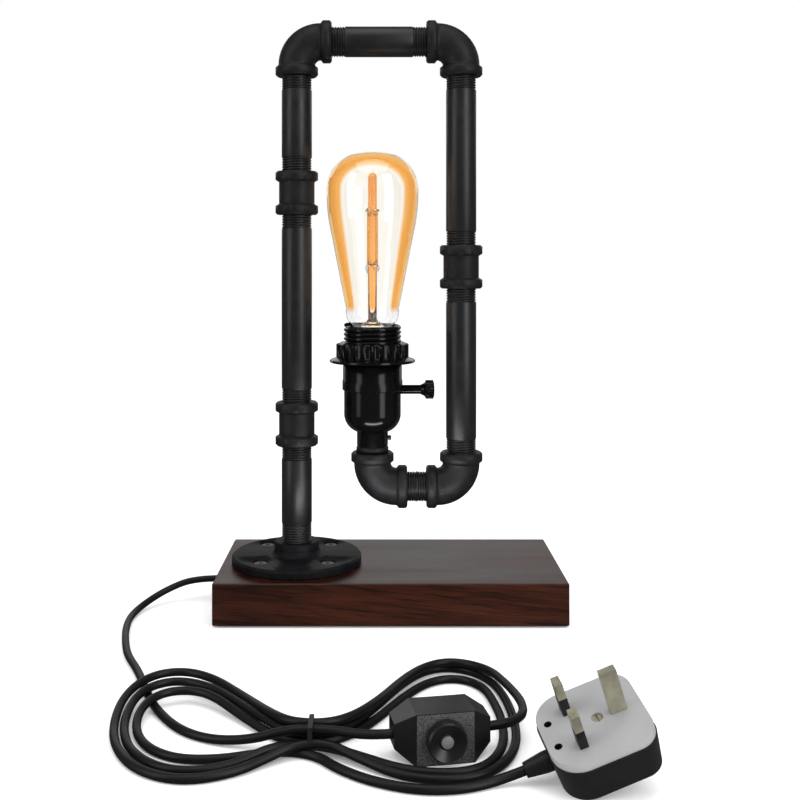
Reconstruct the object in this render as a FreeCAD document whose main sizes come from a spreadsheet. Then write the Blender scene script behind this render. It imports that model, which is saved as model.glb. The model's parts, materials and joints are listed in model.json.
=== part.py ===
import FreeCAD, Part
import math
import os
import Sketcher

# Industrial pipe table lamp: a loop of threaded black pipe on a wooden block, a keyed lampholder
# with a shade ring at the end of the loop, a filament bulb, and a mains lead with dimmer and plug.
# +X is to the right, +Y to the back and +Z up. The origin is the middle of the block's underside,
# on the surface that the lamp stands on. All lengths are millimetres, all angles degrees.

V = FreeCAD.Vector
doc = FreeCAD.newDocument("pipe_lamp")


class Size:
    """A length as a number, together with the spreadsheet formula that gives it."""

    def __init__(self, number, formula):
        self.number = float(number)
        self.formula = formula

    def __add__(self, other):
        other = as_size(other)
        return Size(self.number + other.number, f"({self.formula} + {other.formula})")

    def __sub__(self, other):
        other = as_size(other)
        return Size(self.number - other.number, f"({self.formula} - {other.formula})")

    def __mul__(self, other):
        other = as_size(other)
        return Size(self.number * other.number, f"({self.formula} * {other.formula})")

    def __truediv__(self, other):
        other = as_size(other)
        return Size(self.number / other.number, f"({self.formula} / {other.formula})")

    def __neg__(self):
        return Size(-self.number, f"(0 - {self.formula})")

    __radd__ = __add__
    __rmul__ = __mul__

    def __rsub__(self, other):
        return as_size(other) - self


def as_size(value):
    """Wrap a plain number, and leave a Size as it is."""
    return value if isinstance(value, Size) else Size(value, repr(float(value)))


class Sheet:
    """A spreadsheet whose named cells are read back as Size objects."""

    def __init__(self, name):
        self.name = name
        self.cells = doc.addObject("Spreadsheet::Sheet", name)
        self.row = 0

    def write(self, alias, text, note=""):
        self.row += 1
        self.cells.set(f"A{self.row}", note)
        self.cells.set(f"B{self.row}", text)
        self.cells.setAlias(f"B{self.row}", alias)

    def __getattr__(self, alias):
        return Size(self.cells.get(alias), f"{self.name}.{alias}")


# The driving dimensions.
SIZES = [
    # wooden block, its pads and its underside
    ("base_width", 235, "block, left to right"),
    ("base_depth", 110, "block, front to back"),
    ("base_thick", 28, "block, top to underside"),
    ("base_edge", 0.8, "worn chamfer on the block's edges"),
    ("pad_dia", 16, "felt pad under each corner"),
    ("pad_thick", 1.2, "felt pad"),
    ("pad_inset", 14, "pad's middle from the block's sides"),
    ("post_from_left", 51.7, "post's axis from the block's left side"),
    ("post_from_front", 52, "post's axis from the block's front"),
    ("pocket_length", 48, "wiring pocket under the post, left to right"),
    ("pocket_width", 34, "wiring pocket, front to back"),
    ("pocket_deep", 19, "wiring pocket above the cover's face"),
    ("cover_lip", 7, "ledge that the cover screws onto"),
    ("cover_thick", 1.6, "cover plate under the pocket"),
    ("cover_gap", 0.3, "cover to its recess, all round"),
    ("wire_hole_dia", 12, "hole up through the block into the post"),
    ("small_screw", 2.6, "small screws' thread"),
    ("small_head", 5, "small screws' head"),
    ("head_sunk", 0.3, "small screws' heads below the surface"),
    ("small_tip", 2, "small screws' points"),
    ("small_screw_long", 9, "cover's and clamp's screws"),
    ("lead_back", 6, "lead's hole behind the post's axis"),
    ("lead_rise", 14, "lead's hole above the block's underside"),
    # pipe and malleable fittings
    ("pipe_od", 21.3, "half-inch pipe, outside"),
    ("pipe_bore", 16, "half-inch pipe, inside"),
    ("thread_od", 20.9, "pipe thread over its crests"),
    ("thread_run", 20, "threaded length at each end of a pipe"),
    ("thread_grip", 11, "pipe's length inside a fitting"),
    ("thread_gap", 0.05, "pipe thread to its fitting, on the radius"),
    ("fitting_bore", 17, "waterway inside a fitting"),
    ("band_od", 30, "reinforcing band of a fitting"),
    ("band_long", 6, "band, along the pipe"),
    ("band_edge", 1.2, "chamfer on a band"),
    ("band_root", 1.6, "slope from a band down to the body"),
    ("elbow_reach", 24.5, "elbow, middle to end face"),
    ("elbow_od", 26, "elbow's body"),
    ("coupling_long", 30.5, "straight coupling, end to end"),
    ("coupling_od", 25, "straight coupling's body"),
    ("flange_dia", 91, "floor flange"),
    ("flange_plate", 6, "floor flange's plate"),
    ("flange_tall", 15, "floor flange, plate and hub"),
    ("flange_edge", 1.5, "chamfer on the plate's rim"),
    ("hub_od", 31.3, "floor flange's hub"),
    ("hub_root", 4, "flare where the hub meets the plate"),
    ("bolt_circle", 65, "circle of the flange's screws"),
    ("bolt_count", 4, "screws in the flange"),
    ("bolt_hole", 5, "hole for a flange screw"),
    ("bolt_head", 9, "countersunk head"),
    ("bolt_shank", 4.2, "flange screw's shank"),
    ("bolt_sink", 0.8, "screw's seat below the plate's face"),
    ("bolt_rim", 1.2, "open ring round a screw's head"),
    ("bolt_long", 19, "flange screw under its face"),
    ("low_pipe", 89, "lower pipe of the post"),
    ("mid_pipe", 154, "middle pipe of the post"),
    ("up_pipe", 89, "upper pipe of the post"),
    ("top_pipe", 89, "level pipe at the top"),
    ("drop_pipe", 141, "upper pipe of the drop"),
    ("foot_pipe", 137.3, "lower pipe of the drop"),
    ("close_pipe", 35.6, "short pipe of the bend"),
    # lampholder
    ("bush_od", 22.6, "reducing bush's collar"),
    ("bush_collar", 4.4, "reducing bush's collar, height"),
    ("stud_od", 10, "hollow stud, outside"),
    ("stud_bore", 7, "hollow stud, inside"),
    ("stud_long", 24, "hollow stud"),
    ("neck_od", 21.9, "neck of the lampholder's cap"),
    ("neck_long", 10.2, "neck of the lampholder's cap"),
    ("cap_od", 40, "lampholder's cap"),
    ("cap_tall", 29, "cap, above its neck"),
    ("cap_round", 13, "radius at the cap's foot"),
    ("cap_wall", 2.4, "cap's wall"),
    ("cap_floor", 5, "cap's floor over the stud"),
    ("joint_gap", 0.3, "cap's rim to the skirt's band"),
    ("collar_od", 42.4, "skirt's band"),
    ("collar_long", 6.7, "skirt's band, height"),
    ("skirt_od", 41.6, "skirt above its band"),
    ("skirt_tall", 11, "skirt above its band, height"),
    ("mouth_od", 38, "skirt's threaded mouth"),
    ("mouth_tall", 27.3, "skirt's threaded mouth, height"),
    ("mouth_bore", 33, "skirt's mouth, inside"),
    ("ring_gap", 0.3, "shade ring to the mouth's thread, on the radius"),
    ("ring_rise", 3.4, "shade ring above the skirt's shoulder"),
    ("ring_flange", 60.6, "shade ring's flange"),
    ("ring_plate", 1.8, "shade ring's flange, thickness"),
    ("ring_dish", 1.6, "droop of the flange at its rim"),
    ("ring_od", 51, "shade ring's collar over its ribs"),
    ("ring_tall", 12.2, "shade ring, flange and collar"),
    ("ring_wall", 2, "shade ring's wall at its bore"),
    ("rib_count", 24, "ribs round the shade ring"),
    ("rib_deep", 1.5, "ribs round the shade ring"),
    ("key_level", 0.4, "key's axis above the cap's rim"),
    ("key_stem", 6.4, "key's stem"),
    ("key_reach", 36.7, "key's shoulder from the lampholder's axis"),
    ("key_knob", 13.2, "key's knob"),
    ("key_knob_long", 7, "key's knob, along its axis"),
    ("key_ribs", 16, "ribs round the key's knob"),
    ("key_slack", 0.08, "key's stem in its hole, on the radius"),
    ("key_rib_deep", 0.8, "ribs round the key's knob"),
    ("key_rib_wide", 1.6, "ribs round the key's knob"),
    ("key_root", 14, "key's inner end from the lampholder's axis"),
    ("rotor_dia", 9, "switch rotor"),
    ("rotor_root", 6, "rotor's inner end from the lampholder's axis"),
    ("rib_wide", 3.8, "ribs round the shade ring"),
    ("grub_level", 0.55, "neck screw's share of the neck's height"),
    ("grub_head", 3.4, "neck screw's head"),
    ("grub_head_tall", 2.2, "neck screw's head"),
    ("shell_below", 0.5, "screw shell's top below the bulb's screw cap"),
    ("shell_bore", 27.2, "screw shell, inside"),
    ("shell_wall", 0.5, "screw shell's wall"),
    ("shell_tall", 22, "screw shell"),
    ("insert_od", 32, "moulded insert that carries the contacts"),
    ("insert_drop", 14, "insert below the cap's rim"),
    ("terminal_out", 8, "terminal screws from the axis, each way"),
    ("terminal_long", 8, "terminal screws"),
    ("terminal_head_tall", 1.8, "terminal screws' heads"),
    ("contact_bow", 2.6, "centre contact's rise"),
    # filament bulb
    ("leg_wide", 6, "legs under the screw shell"),
    ("shell_lip", 1, "height of the screw shell's flared lip"),
    ("shell_flare", 0.8, "screw shell's lip, outwards"),
    ("strip_back", 9, "contact strip behind the bulb's contact"),
    ("strip_front", 4.5, "contact strip in front of it"),
    ("strip_wide", 5, "contact strip"),
    ("strip_foot", 2, "fixed end of the contact strip"),
    ("strip_rise", 4, "sprung slope of the contact strip, along it"),
    ("strip_pad", 4, "raised middle of the contact strip"),
    ("cap_below", 2.5, "bulb's screw cap below the mouth's rim"),
    ("cap_slope", 3, "sloped foot of the bulb's screw cap"),
    ("bead_side", 0.4, "insulating bead's side inside the cap"),
    ("bead_deep", 5, "insulating bead, height"),
    ("bead_ledge", 2, "insulating bead round the contact"),
    ("contact_edge", 1, "rounded edge of the bulb's contact"),
    ("bulb_dia", 65, "bulb's glass at its widest"),
    ("bulb_rise", 123, "top of the glass above the mouth"),
    ("bulb_wide_at", 27, "widest place below the top"),
    ("bulb_crown", 18, "radius where the flat crown ends"),
    ("bulb_crown_drop", 3.2, "end of the flat crown below the top"),
    ("bulb_flank_at", 57, "start of the straight flank below the top"),
    ("bulb_flank", 29.2, "radius there"),
    ("bulb_heel_up", 12, "end of the straight flank above the mouth"),
    ("bulb_heel", 18.6, "radius there"),
    ("bulb_neck", 12.7, "radius of the glass at the metal cap"),
    ("heel_round", 12, "radius from the flank in to the neck"),
    ("neck_inside", 1.6, "glass neck's overlap with the bulb's screw cap, each way"),
    ("glass_wall", 1, "glass"),
    ("screw_cap_od", 26.4, "bulb's screw cap"),
    ("screw_cap_tall", 22, "bulb's screw cap"),
    ("screw_cap_wall", 0.4, "bulb's screw cap's wall"),
    ("contact_dia", 9.5, "contact at the bulb's foot"),
    ("contact_tall", 2, "contact at the bulb's foot"),
    ("support_tall", 1, "rings that carry the filaments"),
    ("stem_dia", 6.2, "glass stem inside the bulb"),
    ("stem_rise", 108, "top of the stem above the mouth"),
    ("stem_lip", 1, "straight foot of the glass stem"),
    ("stem_flare", 9, "height of the stem's flared foot"),
    ("filament_long", 38, "each filament stick"),
    ("filament_dia", 1.6, "each filament stick"),
    ("filament_count", 4, "filament sticks"),
    ("filament_circle", 8.6, "circle of the filament sticks at their middles"),
    ("filament_foot", 43, "filaments' lower ends above the mouth"),
    # mains lead and what is on it
    ("lead_dia", 4.6, "round mains lead"),
    ("lead_ease", 0.1, "lead to the holes it passes, on the radius"),
    ("riser_lead", 10, "where the inner lead turns towards the post, from its axis"),
    ("lead_end", 8, "end of the inner lead above the lampholder's foot"),
    ("gland_od", 9, "grommet at the lead's exit, outside"),
    ("gland_long", 14, "grommet, most of it inside the block"),
    ("gland_lip", 2.2, "grommet's lip outside the block"),
    ("gland_lip_od", 12, "grommet's lip"),
    ("clamp_back", 18, "cord clamp's middle from the post's axis"),
    ("clamp_long", 20, "cord clamp, over its ears"),
    ("clamp_wide", 8, "cord clamp, along the lead"),
    ("clamp_wall", 1.8, "cord clamp round the lead"),
    ("clamp_ear", 3, "cord clamp's ears, thickness"),
    ("clamp_screw_out", 7, "clamp screws from the lead"),
    ("tie_wide", 2.4, "wire tie round the bundle"),
    ("tie_thick", 0.9, "wire tie"),
    ("tie_at", 41, "wire tie, left of the block's middle"),
    ("hank_tall", 9.2, "bundle's loops, two leads high"),
    ("waist_tall", 14, "bundle under the tie, above the floor"),
    ("dimmer_long", 48, "dimmer's case, along the lead"),
    ("dimmer_tall", 25, "dimmer's case, across the lead"),
    ("dimmer_front", 10, "front shell of the dimmer's case, thickness"),
    ("dimmer_back", 10, "back shell of the dimmer's case, thickness"),
    ("dimmer_end", 9.5, "sloped end of the dimmer's case"),
    ("dimmer_nose", 12, "flat end of the dimmer's case, across the lead"),
    ("dimmer_slope", 6.5, "how far the ends fall back from the face"),
    ("dimmer_wall", 1.8, "dimmer's case, wall"),
    ("end_hollow", 2.2, "hollow in the front shell's sloped ends"),
    ("knob_dia", 20, "dimmer's knob"),
    ("knob_tall", 5, "dimmer's knob, height"),
    ("knob_gap", 0.4, "dimmer's knob above the face"),
    ("knob_edge", 0.8, "rounded edges of the knob"),
    ("knob_dish", 2.4, "depth of the dish in the knob"),
    ("nub_dia", 6, "nub in the middle of the knob"),
    ("nub_tall", 1.2, "nub's straight side"),
    ("nub_dome", 0.8, "rise of the nub's dome"),
    ("shaft_dia", 5, "dimmer's shaft"),
    ("shaft_slack", 0.08, "dimmer's shaft in its bush, on the radius"),
    ("pot_dia", 14, "dimmer's control, body"),
    ("pot_tall", 5.5, "dimmer's control, body"),
    ("pot_gap", 0.3, "control to the shaft and to the case"),
    ("plug_wide", 47, "plug, across the line pins"),
    ("plug_tall", 50, "plug, along the lead"),
    ("plug_face", 4, "plug's face plate"),
    ("plug_deep", 17, "plug's cover behind the face plate"),
    ("plug_round", 15, "plug's corners at the lead's side"),
    ("plug_corner", 11, "plug's corners at the earth pin's side"),
    ("plug_inset", 0.6, "face plate inside the cover's outline"),
    ("plug_wall", 2.2, "plug's cover, wall"),
    ("earth_above", 13.1, "earth pin's middle above the plug's middle"),
    ("pins_down", 22.2, "line pins below the earth pin, and their spacing"),
    ("earth_wide", 8, "earth pin, width"),
    ("earth_long", 22.7, "earth pin"),
    ("line_wide", 6.35, "line pins, width"),
    ("line_long", 17.7, "line pins"),
    ("pin_thick", 4, "all pins, thickness"),
    ("pin_root", 9, "pins inside the plug"),
    ("fuse_dia", 6.3, "cartridge fuse"),
    ("fuse_long", 25.4, "cartridge fuse"),
    ("fuse_gap", 0.4, "fuse to the face plate and to its pin"),
    ("grip_hole_out", 7.4, "cord grip's screw holes from the plug's middle"),
    ("grip_hole_low", 19.5, "cord grip's screw holes below the plug's middle"),
    ("grip_hole_dia", 3.8, "cord grip's screw holes"),
    ("cover_screw", 5.6, "slotted screw that holds the plug's cover"),
    ("cover_screw_up", 2.6, "slotted screw above the plug's middle"),
    ("cover_screw_long", 14, "slotted screw"),
    ("screw_slot", 1, "slot in the screw, width and depth"),
    ("sleeve_dia", 9.6, "plug's lead sleeve at the plug"),
    ("sleeve_tip", 7, "plug's lead sleeve at its tip"),
    ("sleeve_long", 12, "plug's lead sleeve"),
    ("sleeve_inside", 6, "plug's lead sleeve inside the cover"),
    ("sleeve_flange", 11.6, "lead sleeve's flange inside the cover"),
    ("flange_thick", 2, "lead sleeve's flange, thickness"),
]

sheet = Sheet("Sizes")
for alias, number, note in SIZES:
    sheet.write(alias, str(number), note)
doc.recompute()
S = sheet

# Places that follow from the driving dimensions, kept in a second sheet.
P = Sheet("Places")


def place(alias, size):
    """Keep a derived place as a named cell, and return it."""
    P.write(alias, "=" + size.formula)
    doc.recompute()
    return getattr(P, alias)


base_top = place("base_top", S.pad_thick + S.base_thick)
post_x = place("post_x", S.post_from_left - S.base_width / 2)
post_y = place("post_y", S.post_from_front - S.base_depth / 2)
flange_top = place("flange_top", base_top + S.flange_tall)

# The post, from the flange up. Each pipe goes thread_grip deep into the fittings at its ends.
low_pipe_foot = place("low_pipe_foot", flange_top - S.thread_grip)
low_coupling = place("low_coupling", low_pipe_foot + S.low_pipe - S.thread_grip)
mid_pipe_foot = place("mid_pipe_foot", low_coupling + S.coupling_long - S.thread_grip)
up_coupling = place("up_coupling", mid_pipe_foot + S.mid_pipe - S.thread_grip)
up_pipe_foot = place("up_pipe_foot", up_coupling + S.coupling_long - S.thread_grip)
top_level = place("top_level", up_pipe_foot + S.up_pipe - S.thread_grip + S.elbow_reach)

# The level pipe, the drop and the bend that carries the lampholder.
top_pipe_end = place("top_pipe_end", post_x + S.elbow_reach - S.thread_grip)
drop_x = place("drop_x", top_pipe_end + S.top_pipe - S.thread_grip + S.elbow_reach)
drop_pipe_foot = place("drop_pipe_foot", top_level - S.elbow_reach + S.thread_grip - S.drop_pipe)
drop_coupling = place("drop_coupling", drop_pipe_foot + S.thread_grip - S.coupling_long)
foot_pipe_foot = place("foot_pipe_foot", drop_coupling + S.thread_grip - S.foot_pipe)
bend_level = place("bend_level", foot_pipe_foot + S.thread_grip - S.elbow_reach)
close_pipe_end = place("close_pipe_end", drop_x - S.elbow_reach + S.thread_grip - S.close_pipe)
lamp_x = place("lamp_x", close_pipe_end + S.thread_grip - S.elbow_reach)

# The lampholder, from the bend's upward port.
port_top = place("port_top", bend_level + S.elbow_reach)
neck_foot = place("neck_foot", port_top + S.bush_collar)
cap_foot = place("cap_foot", neck_foot + S.neck_long)
cap_rim = place("cap_rim", cap_foot + S.cap_tall)
skirt_foot = place("skirt_foot", cap_rim + S.joint_gap)
shoulder = place("shoulder", skirt_foot + S.collar_long + S.skirt_tall)
mouth_top = place("mouth_top", shoulder + S.mouth_tall)
key_axis = place("key_axis", cap_rim + S.key_level)
ring_foot = place("ring_foot", shoulder + S.ring_rise)
bulb_top = place("bulb_top", mouth_top + S.bulb_rise)
screw_cap_top = place("screw_cap_top", mouth_top - S.cap_below)
screw_cap_foot = place("screw_cap_foot", screw_cap_top - S.screw_cap_tall)
contact_foot = place("contact_foot", screw_cap_foot - S.cap_slope - S.contact_tall)

parts = []


def keep(thing, label):
    """Give a sub-part its label, and list it for writing."""
    thing.Label = label
    parts.append(thing)
    return thing


def put(thing, x=0, y=0, z=0, turn=None):
    """Bind a sub-part's place to the sheets."""
    thing.Placement = FreeCAD.Placement(V(0, 0, 0), turn or FreeCAD.Rotation())
    for axis, size in (("x", x), ("y", y), ("z", z)):
        thing.setExpression(f".Placement.Base.{axis}", as_size(size).formula)
    return thing


def new_body(name):
    return doc.addObject("PartDesign::Body", name)


def origin_plane(body, role):
    return [item for item in body.Origin.OriginFeatures if item.Role == role][0]


def new_sketch(body, name, role="XZ_Plane", lift=0):
    """A sketch on one of the body's own planes, lifted off it by a bound distance."""
    sketch = body.newObject("Sketcher::SketchObject", f"{body.Name}_{name}")
    sketch.AttachmentSupport = [(origin_plane(body, role), "")]
    sketch.MapMode = "FlatFace"
    sketch.setExpression("AttachmentOffset.Base.z", as_size(lift).formula)
    return sketch


def bind(sketch, kind, *where):
    """Add a constraint whose last entry is a Size, and bind it to the sheets."""
    size = as_size(where[-1])
    index = sketch.addConstraint(Sketcher.Constraint(kind, *where[:-1], size.number))
    sketch.setExpression(f"Constraints[{index}]", size.formula)


def bind_point(sketch, curve, end, x, y):
    """Bind one end of a curve to a place in the sketch."""
    bind(sketch, "DistanceX", -1, 1, curve, end, x)
    bind(sketch, "DistanceY", -1, 1, curve, end, y)


def arc_between(start, end, radius, turn):
    """The arc of a radius from start to end, turning left (1) or right (-1)."""
    chord = end - start
    middle = (start + end) * 0.5
    rise = math.sqrt(max(radius ** 2 - (chord.Length / 2) ** 2, 0))
    side = V(-chord.y, chord.x, 0).normalize() * (rise * turn)
    centre = middle + side
    first, last = (start, end) if turn > 0 else (end, start)
    angles = [math.atan2(p.y - centre.y, p.x - centre.x) for p in (first, last)]
    circle = Part.Circle(centre, V(0, 0, 1), radius)
    return Part.ArcOfCircle(circle, angles[0], angles[1])


def draw(sketch, outline):
    """Draw a closed outline of (x, y) points; a third and fourth entry make the side that
    ends there an arc of that radius, turning left (1) or right (-1)."""
    base = sketch.GeometryCount
    ends = []
    corners = [[as_size(value) for value in corner[:3]] for corner in outline]
    for here, corner in enumerate(outline):
        start, end = corners[here - 1], corners[here]
        a = V(start[0].number, start[1].number, 0)
        b = V(end[0].number, end[1].number, 0)
        if len(corner) == 2:
            sketch.addGeometry(Part.LineSegment(a, b), False)
            ends.append((1, 2))
        else:
            sketch.addGeometry(arc_between(a, b, end[2].number, corner[3]), False)
            ends.append((1, 2) if corner[3] > 0 else (2, 1))
            bind(sketch, "Radius", base + here, end[2])
    for here, corner in enumerate(corners):
        after = (here + 1) % len(corners)
        sketch.addConstraint(Sketcher.Constraint(
            "Coincident", base + here, ends[here][1], base + after, ends[after][0]))
        bind_point(sketch, base + here, ends[here][1], corner[0], corner[1])
    return sketch


def draw_circle(sketch, x, y, diameter):
    """Draw a circle whose middle and diameter are bound."""
    x, y, diameter = as_size(x), as_size(y), as_size(diameter)
    circle = Part.Circle(V(x.number, y.number, 0), V(0, 0, 1), diameter.number / 2)
    index = sketch.addGeometry(circle, False)
    bind(sketch, "Diameter", index, diameter)
    bind_point(sketch, index, 3, x, y)
    return sketch


def box_outline(x_low, y_low, x_high, y_high):
    return [(x_low, y_low), (x_high, y_low), (x_high, y_high), (x_low, y_high)]


def centred_box(width, height, x=0, y=0):
    return box_outline(x - width / 2, y - height / 2, x + width / 2, y + height / 2)


def feature(body, kind, name, sketch, **settings):
    """Add a sketch-based feature to a body; Size settings are bound to the sheets."""
    item = body.newObject(f"PartDesign::{kind}", f"{body.Name}_{name}")
    item.Profile = sketch
    for setting, value in settings.items():
        if isinstance(value, Size):
            setattr(item, setting, value.number)
            item.setExpression(setting, value.formula)
        else:
            setattr(item, setting, value)
    return item


def turn_about(body, name, sketch, axis="V_Axis", kind="Revolution", angle=360):
    return feature(body, kind, name, sketch, ReferenceAxis=(sketch, [axis]), Angle=angle)


def turned(name, outline, axis="V_Axis"):
    """A body turned from one outline about its own Z axis (or its X axis)."""
    body = new_body(name)
    turn_about(body, "turn", draw(new_sketch(body, "profile"), outline), axis)
    return body


def extruded(name, outline, length, role="XY_Plane", lift=0, **settings):
    """A body extruded from one outline."""
    body = new_body(name)
    sketch = draw(new_sketch(body, "outline", role, lift), outline)
    feature(body, "Pad", "pad", sketch, Length=as_size(length), **settings)
    return body


def cut(body, name, sketch, length, **settings):
    return feature(body, "Pocket", name, sketch, Length=as_size(length), **settings)


def around(body, features, count, sketch, name="round"):
    """Repeat features round the body's Z axis."""
    pattern = body.newObject("PartDesign::PolarPattern", f"{body.Name}_{name}")
    pattern.Originals = features
    pattern.Axis = (sketch, ["V_Axis"])
    pattern.Angle = 360
    pattern.Occurrences = int(count.number)
    pattern.setExpression("Occurrences", count.formula)
    body.Tip = pattern
    return pattern
socket_r = S.thread_od / 2 + S.thread_gap
thread_r = S.thread_od / 2
band_r = S.band_od / 2
socket_deep = S.thread_grip + 1
bolt_r = S.bolt_circle / 2
cover_screw_x = S.pocket_length / 2 + S.cover_lip / 2
DIAGONAL = FreeCAD.Rotation(V(0, 0, 1), 45)
ALONG_X = FreeCAD.Rotation(V(0, 1, 0), 90)


def post_sketch(body, name, lift=0):
    """A level sketch whose own middle is the post's axis, in the block's frame."""
    sketch = new_sketch(body, name, "XY_Plane", lift)
    sketch.setExpression("AttachmentOffset.Base.x", post_x.formula)
    sketch.setExpression("AttachmentOffset.Base.y", post_y.formula)
    return sketch


def make_block():
    """The wooden block: chamfered edges, wiring pocket, lead hole and pilot holes."""
    block = extruded("block", centred_box(S.base_width, S.base_depth), S.base_thick)
    doc.recompute()
    plain = block.Tip
    edges = block.newObject("PartDesign::Chamfer", "block_edges")
    edges.Base = (plain, [f"Edge{n + 1}" for n in range(len(plain.Shape.Edges))])
    edges.Size = S.base_edge.number
    edges.setExpression("Size", S.base_edge.formula)
    doc.recompute()
    recess = centred_box(S.pocket_length + S.cover_lip * 2, S.pocket_width + S.cover_lip * 2)
    cut(block, "recess", draw(post_sketch(block, "recess_line"), recess),
        S.cover_thick, Reversed=True)
    pocket = centred_box(S.pocket_length, S.pocket_width)
    cut(block, "pocket", draw(post_sketch(block, "pocket_line"), pocket),
        S.cover_thick + S.pocket_deep, Reversed=True)
    riser = draw_circle(post_sketch(block, "riser_line"), 0, 0, S.wire_hole_dia)
    cut(block, "riser", riser, S.base_thick + 1, Reversed=True)
    screw_holes = post_sketch(block, "screw_line")
    for side in (-1, 1):
        draw_circle(screw_holes, cover_screw_x * side, 0, S.small_screw + S.thread_gap * 2)
    cut(block, "screw_holes", screw_holes, S.cover_thick + S.small_screw_long, Reversed=True)
    clamp_holes = post_sketch(block, "clamp_line")
    for side in (-1, 1):
        draw_circle(clamp_holes, -S.clamp_back, S.lead_back + S.clamp_screw_out * side,
                    S.small_screw + S.thread_gap * 2)
    cut(block, "clamp_holes", clamp_holes,
        S.cover_thick + S.pocket_deep - S.clamp_ear + S.small_screw_long, Reversed=True)
    lead = draw_circle(new_sketch(block, "lead_line", "YZ_Plane", post_x),
                       post_y + S.lead_back, S.lead_rise, S.gland_od + S.thread_gap * 2)
    cut(block, "lead_hole", lead, S.base_width)
    pilot_line = post_sketch(block, "pilot_line", S.base_thick)
    draw_circle(pilot_line, bolt_r * math.cos(math.radians(45)),
                bolt_r * math.sin(math.radians(45)), S.bolt_shank + S.thread_gap * 2)
    doc.recompute()
    pilot = cut(block, "pilot", pilot_line, S.bolt_long - S.flange_plate + 2)
    doc.recompute()
    pattern = around(block, [pilot], S.bolt_count, pilot_line, "pilots")
    pattern.Axis = (pilot_line, ["N_Axis"])
    keep(put(block, z=S.pad_thick), "wood_base")


def make_pads():
    """Four felt pads, one under each corner."""
    body = new_body("pads")
    sketch = new_sketch(body, "circles", "XY_Plane")
    for sx in (-1, 1):
        for sy in (-1, 1):
            draw_circle(sketch, (S.base_width / 2 - S.pad_inset) * sx,
                        (S.base_depth / 2 - S.pad_inset) * sy, S.pad_dia)
    feature(body, "Pad", "pad", sketch, Length=S.pad_thick)
    keep(body, "base_pads")


def make_cover():
    """The plate under the wiring pocket, with two countersunk holes."""
    width = S.pocket_length + S.cover_lip * 2 - S.cover_gap * 2
    depth = S.pocket_width + S.cover_lip * 2 - S.cover_gap * 2
    cover = extruded("cover", centred_box(width, depth), S.cover_thick)
    for side in (-1, 1):
        hole = new_sketch(cover, f"hole_line_{side + 1}")
        x, head, shank = cover_screw_x * side, S.small_head / 2, S.small_screw / 2
        wide = head + S.head_sunk + S.thread_gap
        draw(hole, [(x, -1), (x + wide + 1, -1), (x + shank + S.thread_gap, wide - shank),
                    (x + shank + S.thread_gap, S.cover_thick + 1), (x, S.cover_thick + 1)])
        off_axis(hole, x, 0, S.cover_thick)
        turn_about(cover, f"hole_{side + 1}", hole, "Axis0", "Groove")
    keep(put(cover, post_x, post_y, S.pad_thick), "base_cover")


def make_small_screws():
    """The identical countersunk screws of the cover and of the cord clamp."""
    head, shank = S.small_head / 2, S.small_screw / 2
    screws = new_body("screws_body")
    ear = S.cover_thick + S.pocket_deep - S.clamp_ear
    spots = [(cover_screw_x * side, 0, 0) for side in (-1, 1)]
    spots += [(-S.clamp_back, S.lead_back + S.clamp_screw_out * side, ear) for side in (-1, 1)]
    for number, (x, y, foot) in enumerate(spots):
        line = new_sketch(screws, f"line_{number}", lift=-y)
        draw(line, [(x, foot + S.head_sunk), (x + head, foot + S.head_sunk),
                    (x + shank, foot + S.head_sunk + head - shank),
                    (x + shank, foot + S.small_screw_long - S.small_tip),
                    (x, foot + S.small_screw_long)])
        off_axis(line, as_size(x), foot, foot + S.small_screw_long)
        turn_about(screws, f"turn_{number}", line, "Axis0")
    keep(put(screws, post_x, post_y, S.pad_thick), "small_screws")


def off_axis(sketch, x, low, high):
    """A construction axis at x, for turning one of a ring of holes or screws."""
    axis = sketch.addGeometry(Part.LineSegment(V(x.number, 0, 0), V(x.number, 1, 0)), True)
    bind_point(sketch, axis, 1, x, low)
    bind_point(sketch, axis, 2, x, high)
    return sketch


def make_flange():
    """The floor flange: plate, flared hub, threaded socket and four countersunk holes."""
    rim, hub, plate, tall = S.flange_dia / 2, S.hub_od / 2, S.flange_plate, S.flange_tall
    flange = turned("flange", [
        (socket_r, 0), (rim - 0.5, 0), (rim, 0.5), (rim, plate - S.flange_edge),
        (rim - S.flange_edge, plate), (hub + S.hub_root, plate),
        (hub, plate + S.hub_root, S.hub_root, -1), (hub, tall - 1), (hub - 1, tall),
        (socket_r, tall)])
    head, shank = S.bolt_head / 2 + S.thread_gap, S.bolt_hole / 2
    seat = plate - S.bolt_sink
    hole = draw(new_sketch(flange, "hole_line"), [
        (bolt_r, -1), (bolt_r + shank, -1), (bolt_r + shank, seat - head + shank),
        (bolt_r + head, seat), (bolt_r + head + S.bolt_rim, seat),
        (bolt_r + head + S.bolt_rim, plate + 1), (bolt_r, plate + 1)])
    off_axis(hole, bolt_r, 0, plate)
    groove = turn_about(flange, "hole", hole, "Axis0", "Groove")
    doc.recompute()
    around(flange, [groove], S.bolt_count, hole, "holes")
    keep(put(flange, post_x, post_y, base_top, DIAGONAL), "floor_flange")


def make_flange_screws():
    """Countersunk wood screws that hold the flange to the block."""
    head, shank = S.bolt_head / 2, S.bolt_shank / 2
    top = S.flange_plate - S.bolt_sink
    screws = new_body("screws")
    line = draw(new_sketch(screws, "line"), [
        (bolt_r, top - S.bolt_long), (bolt_r + shank, top - S.bolt_long + 5),
        (bolt_r + shank, top - head + shank), (bolt_r + head, top), (bolt_r, top)])
    off_axis(line, bolt_r, 0, top)
    one = turn_about(screws, "one", line, "Axis0")
    doc.recompute()
    around(screws, [one], S.bolt_count, line, "ring")
    keep(put(screws, post_x, post_y, base_top, DIAGONAL), "flange_screws")


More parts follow.
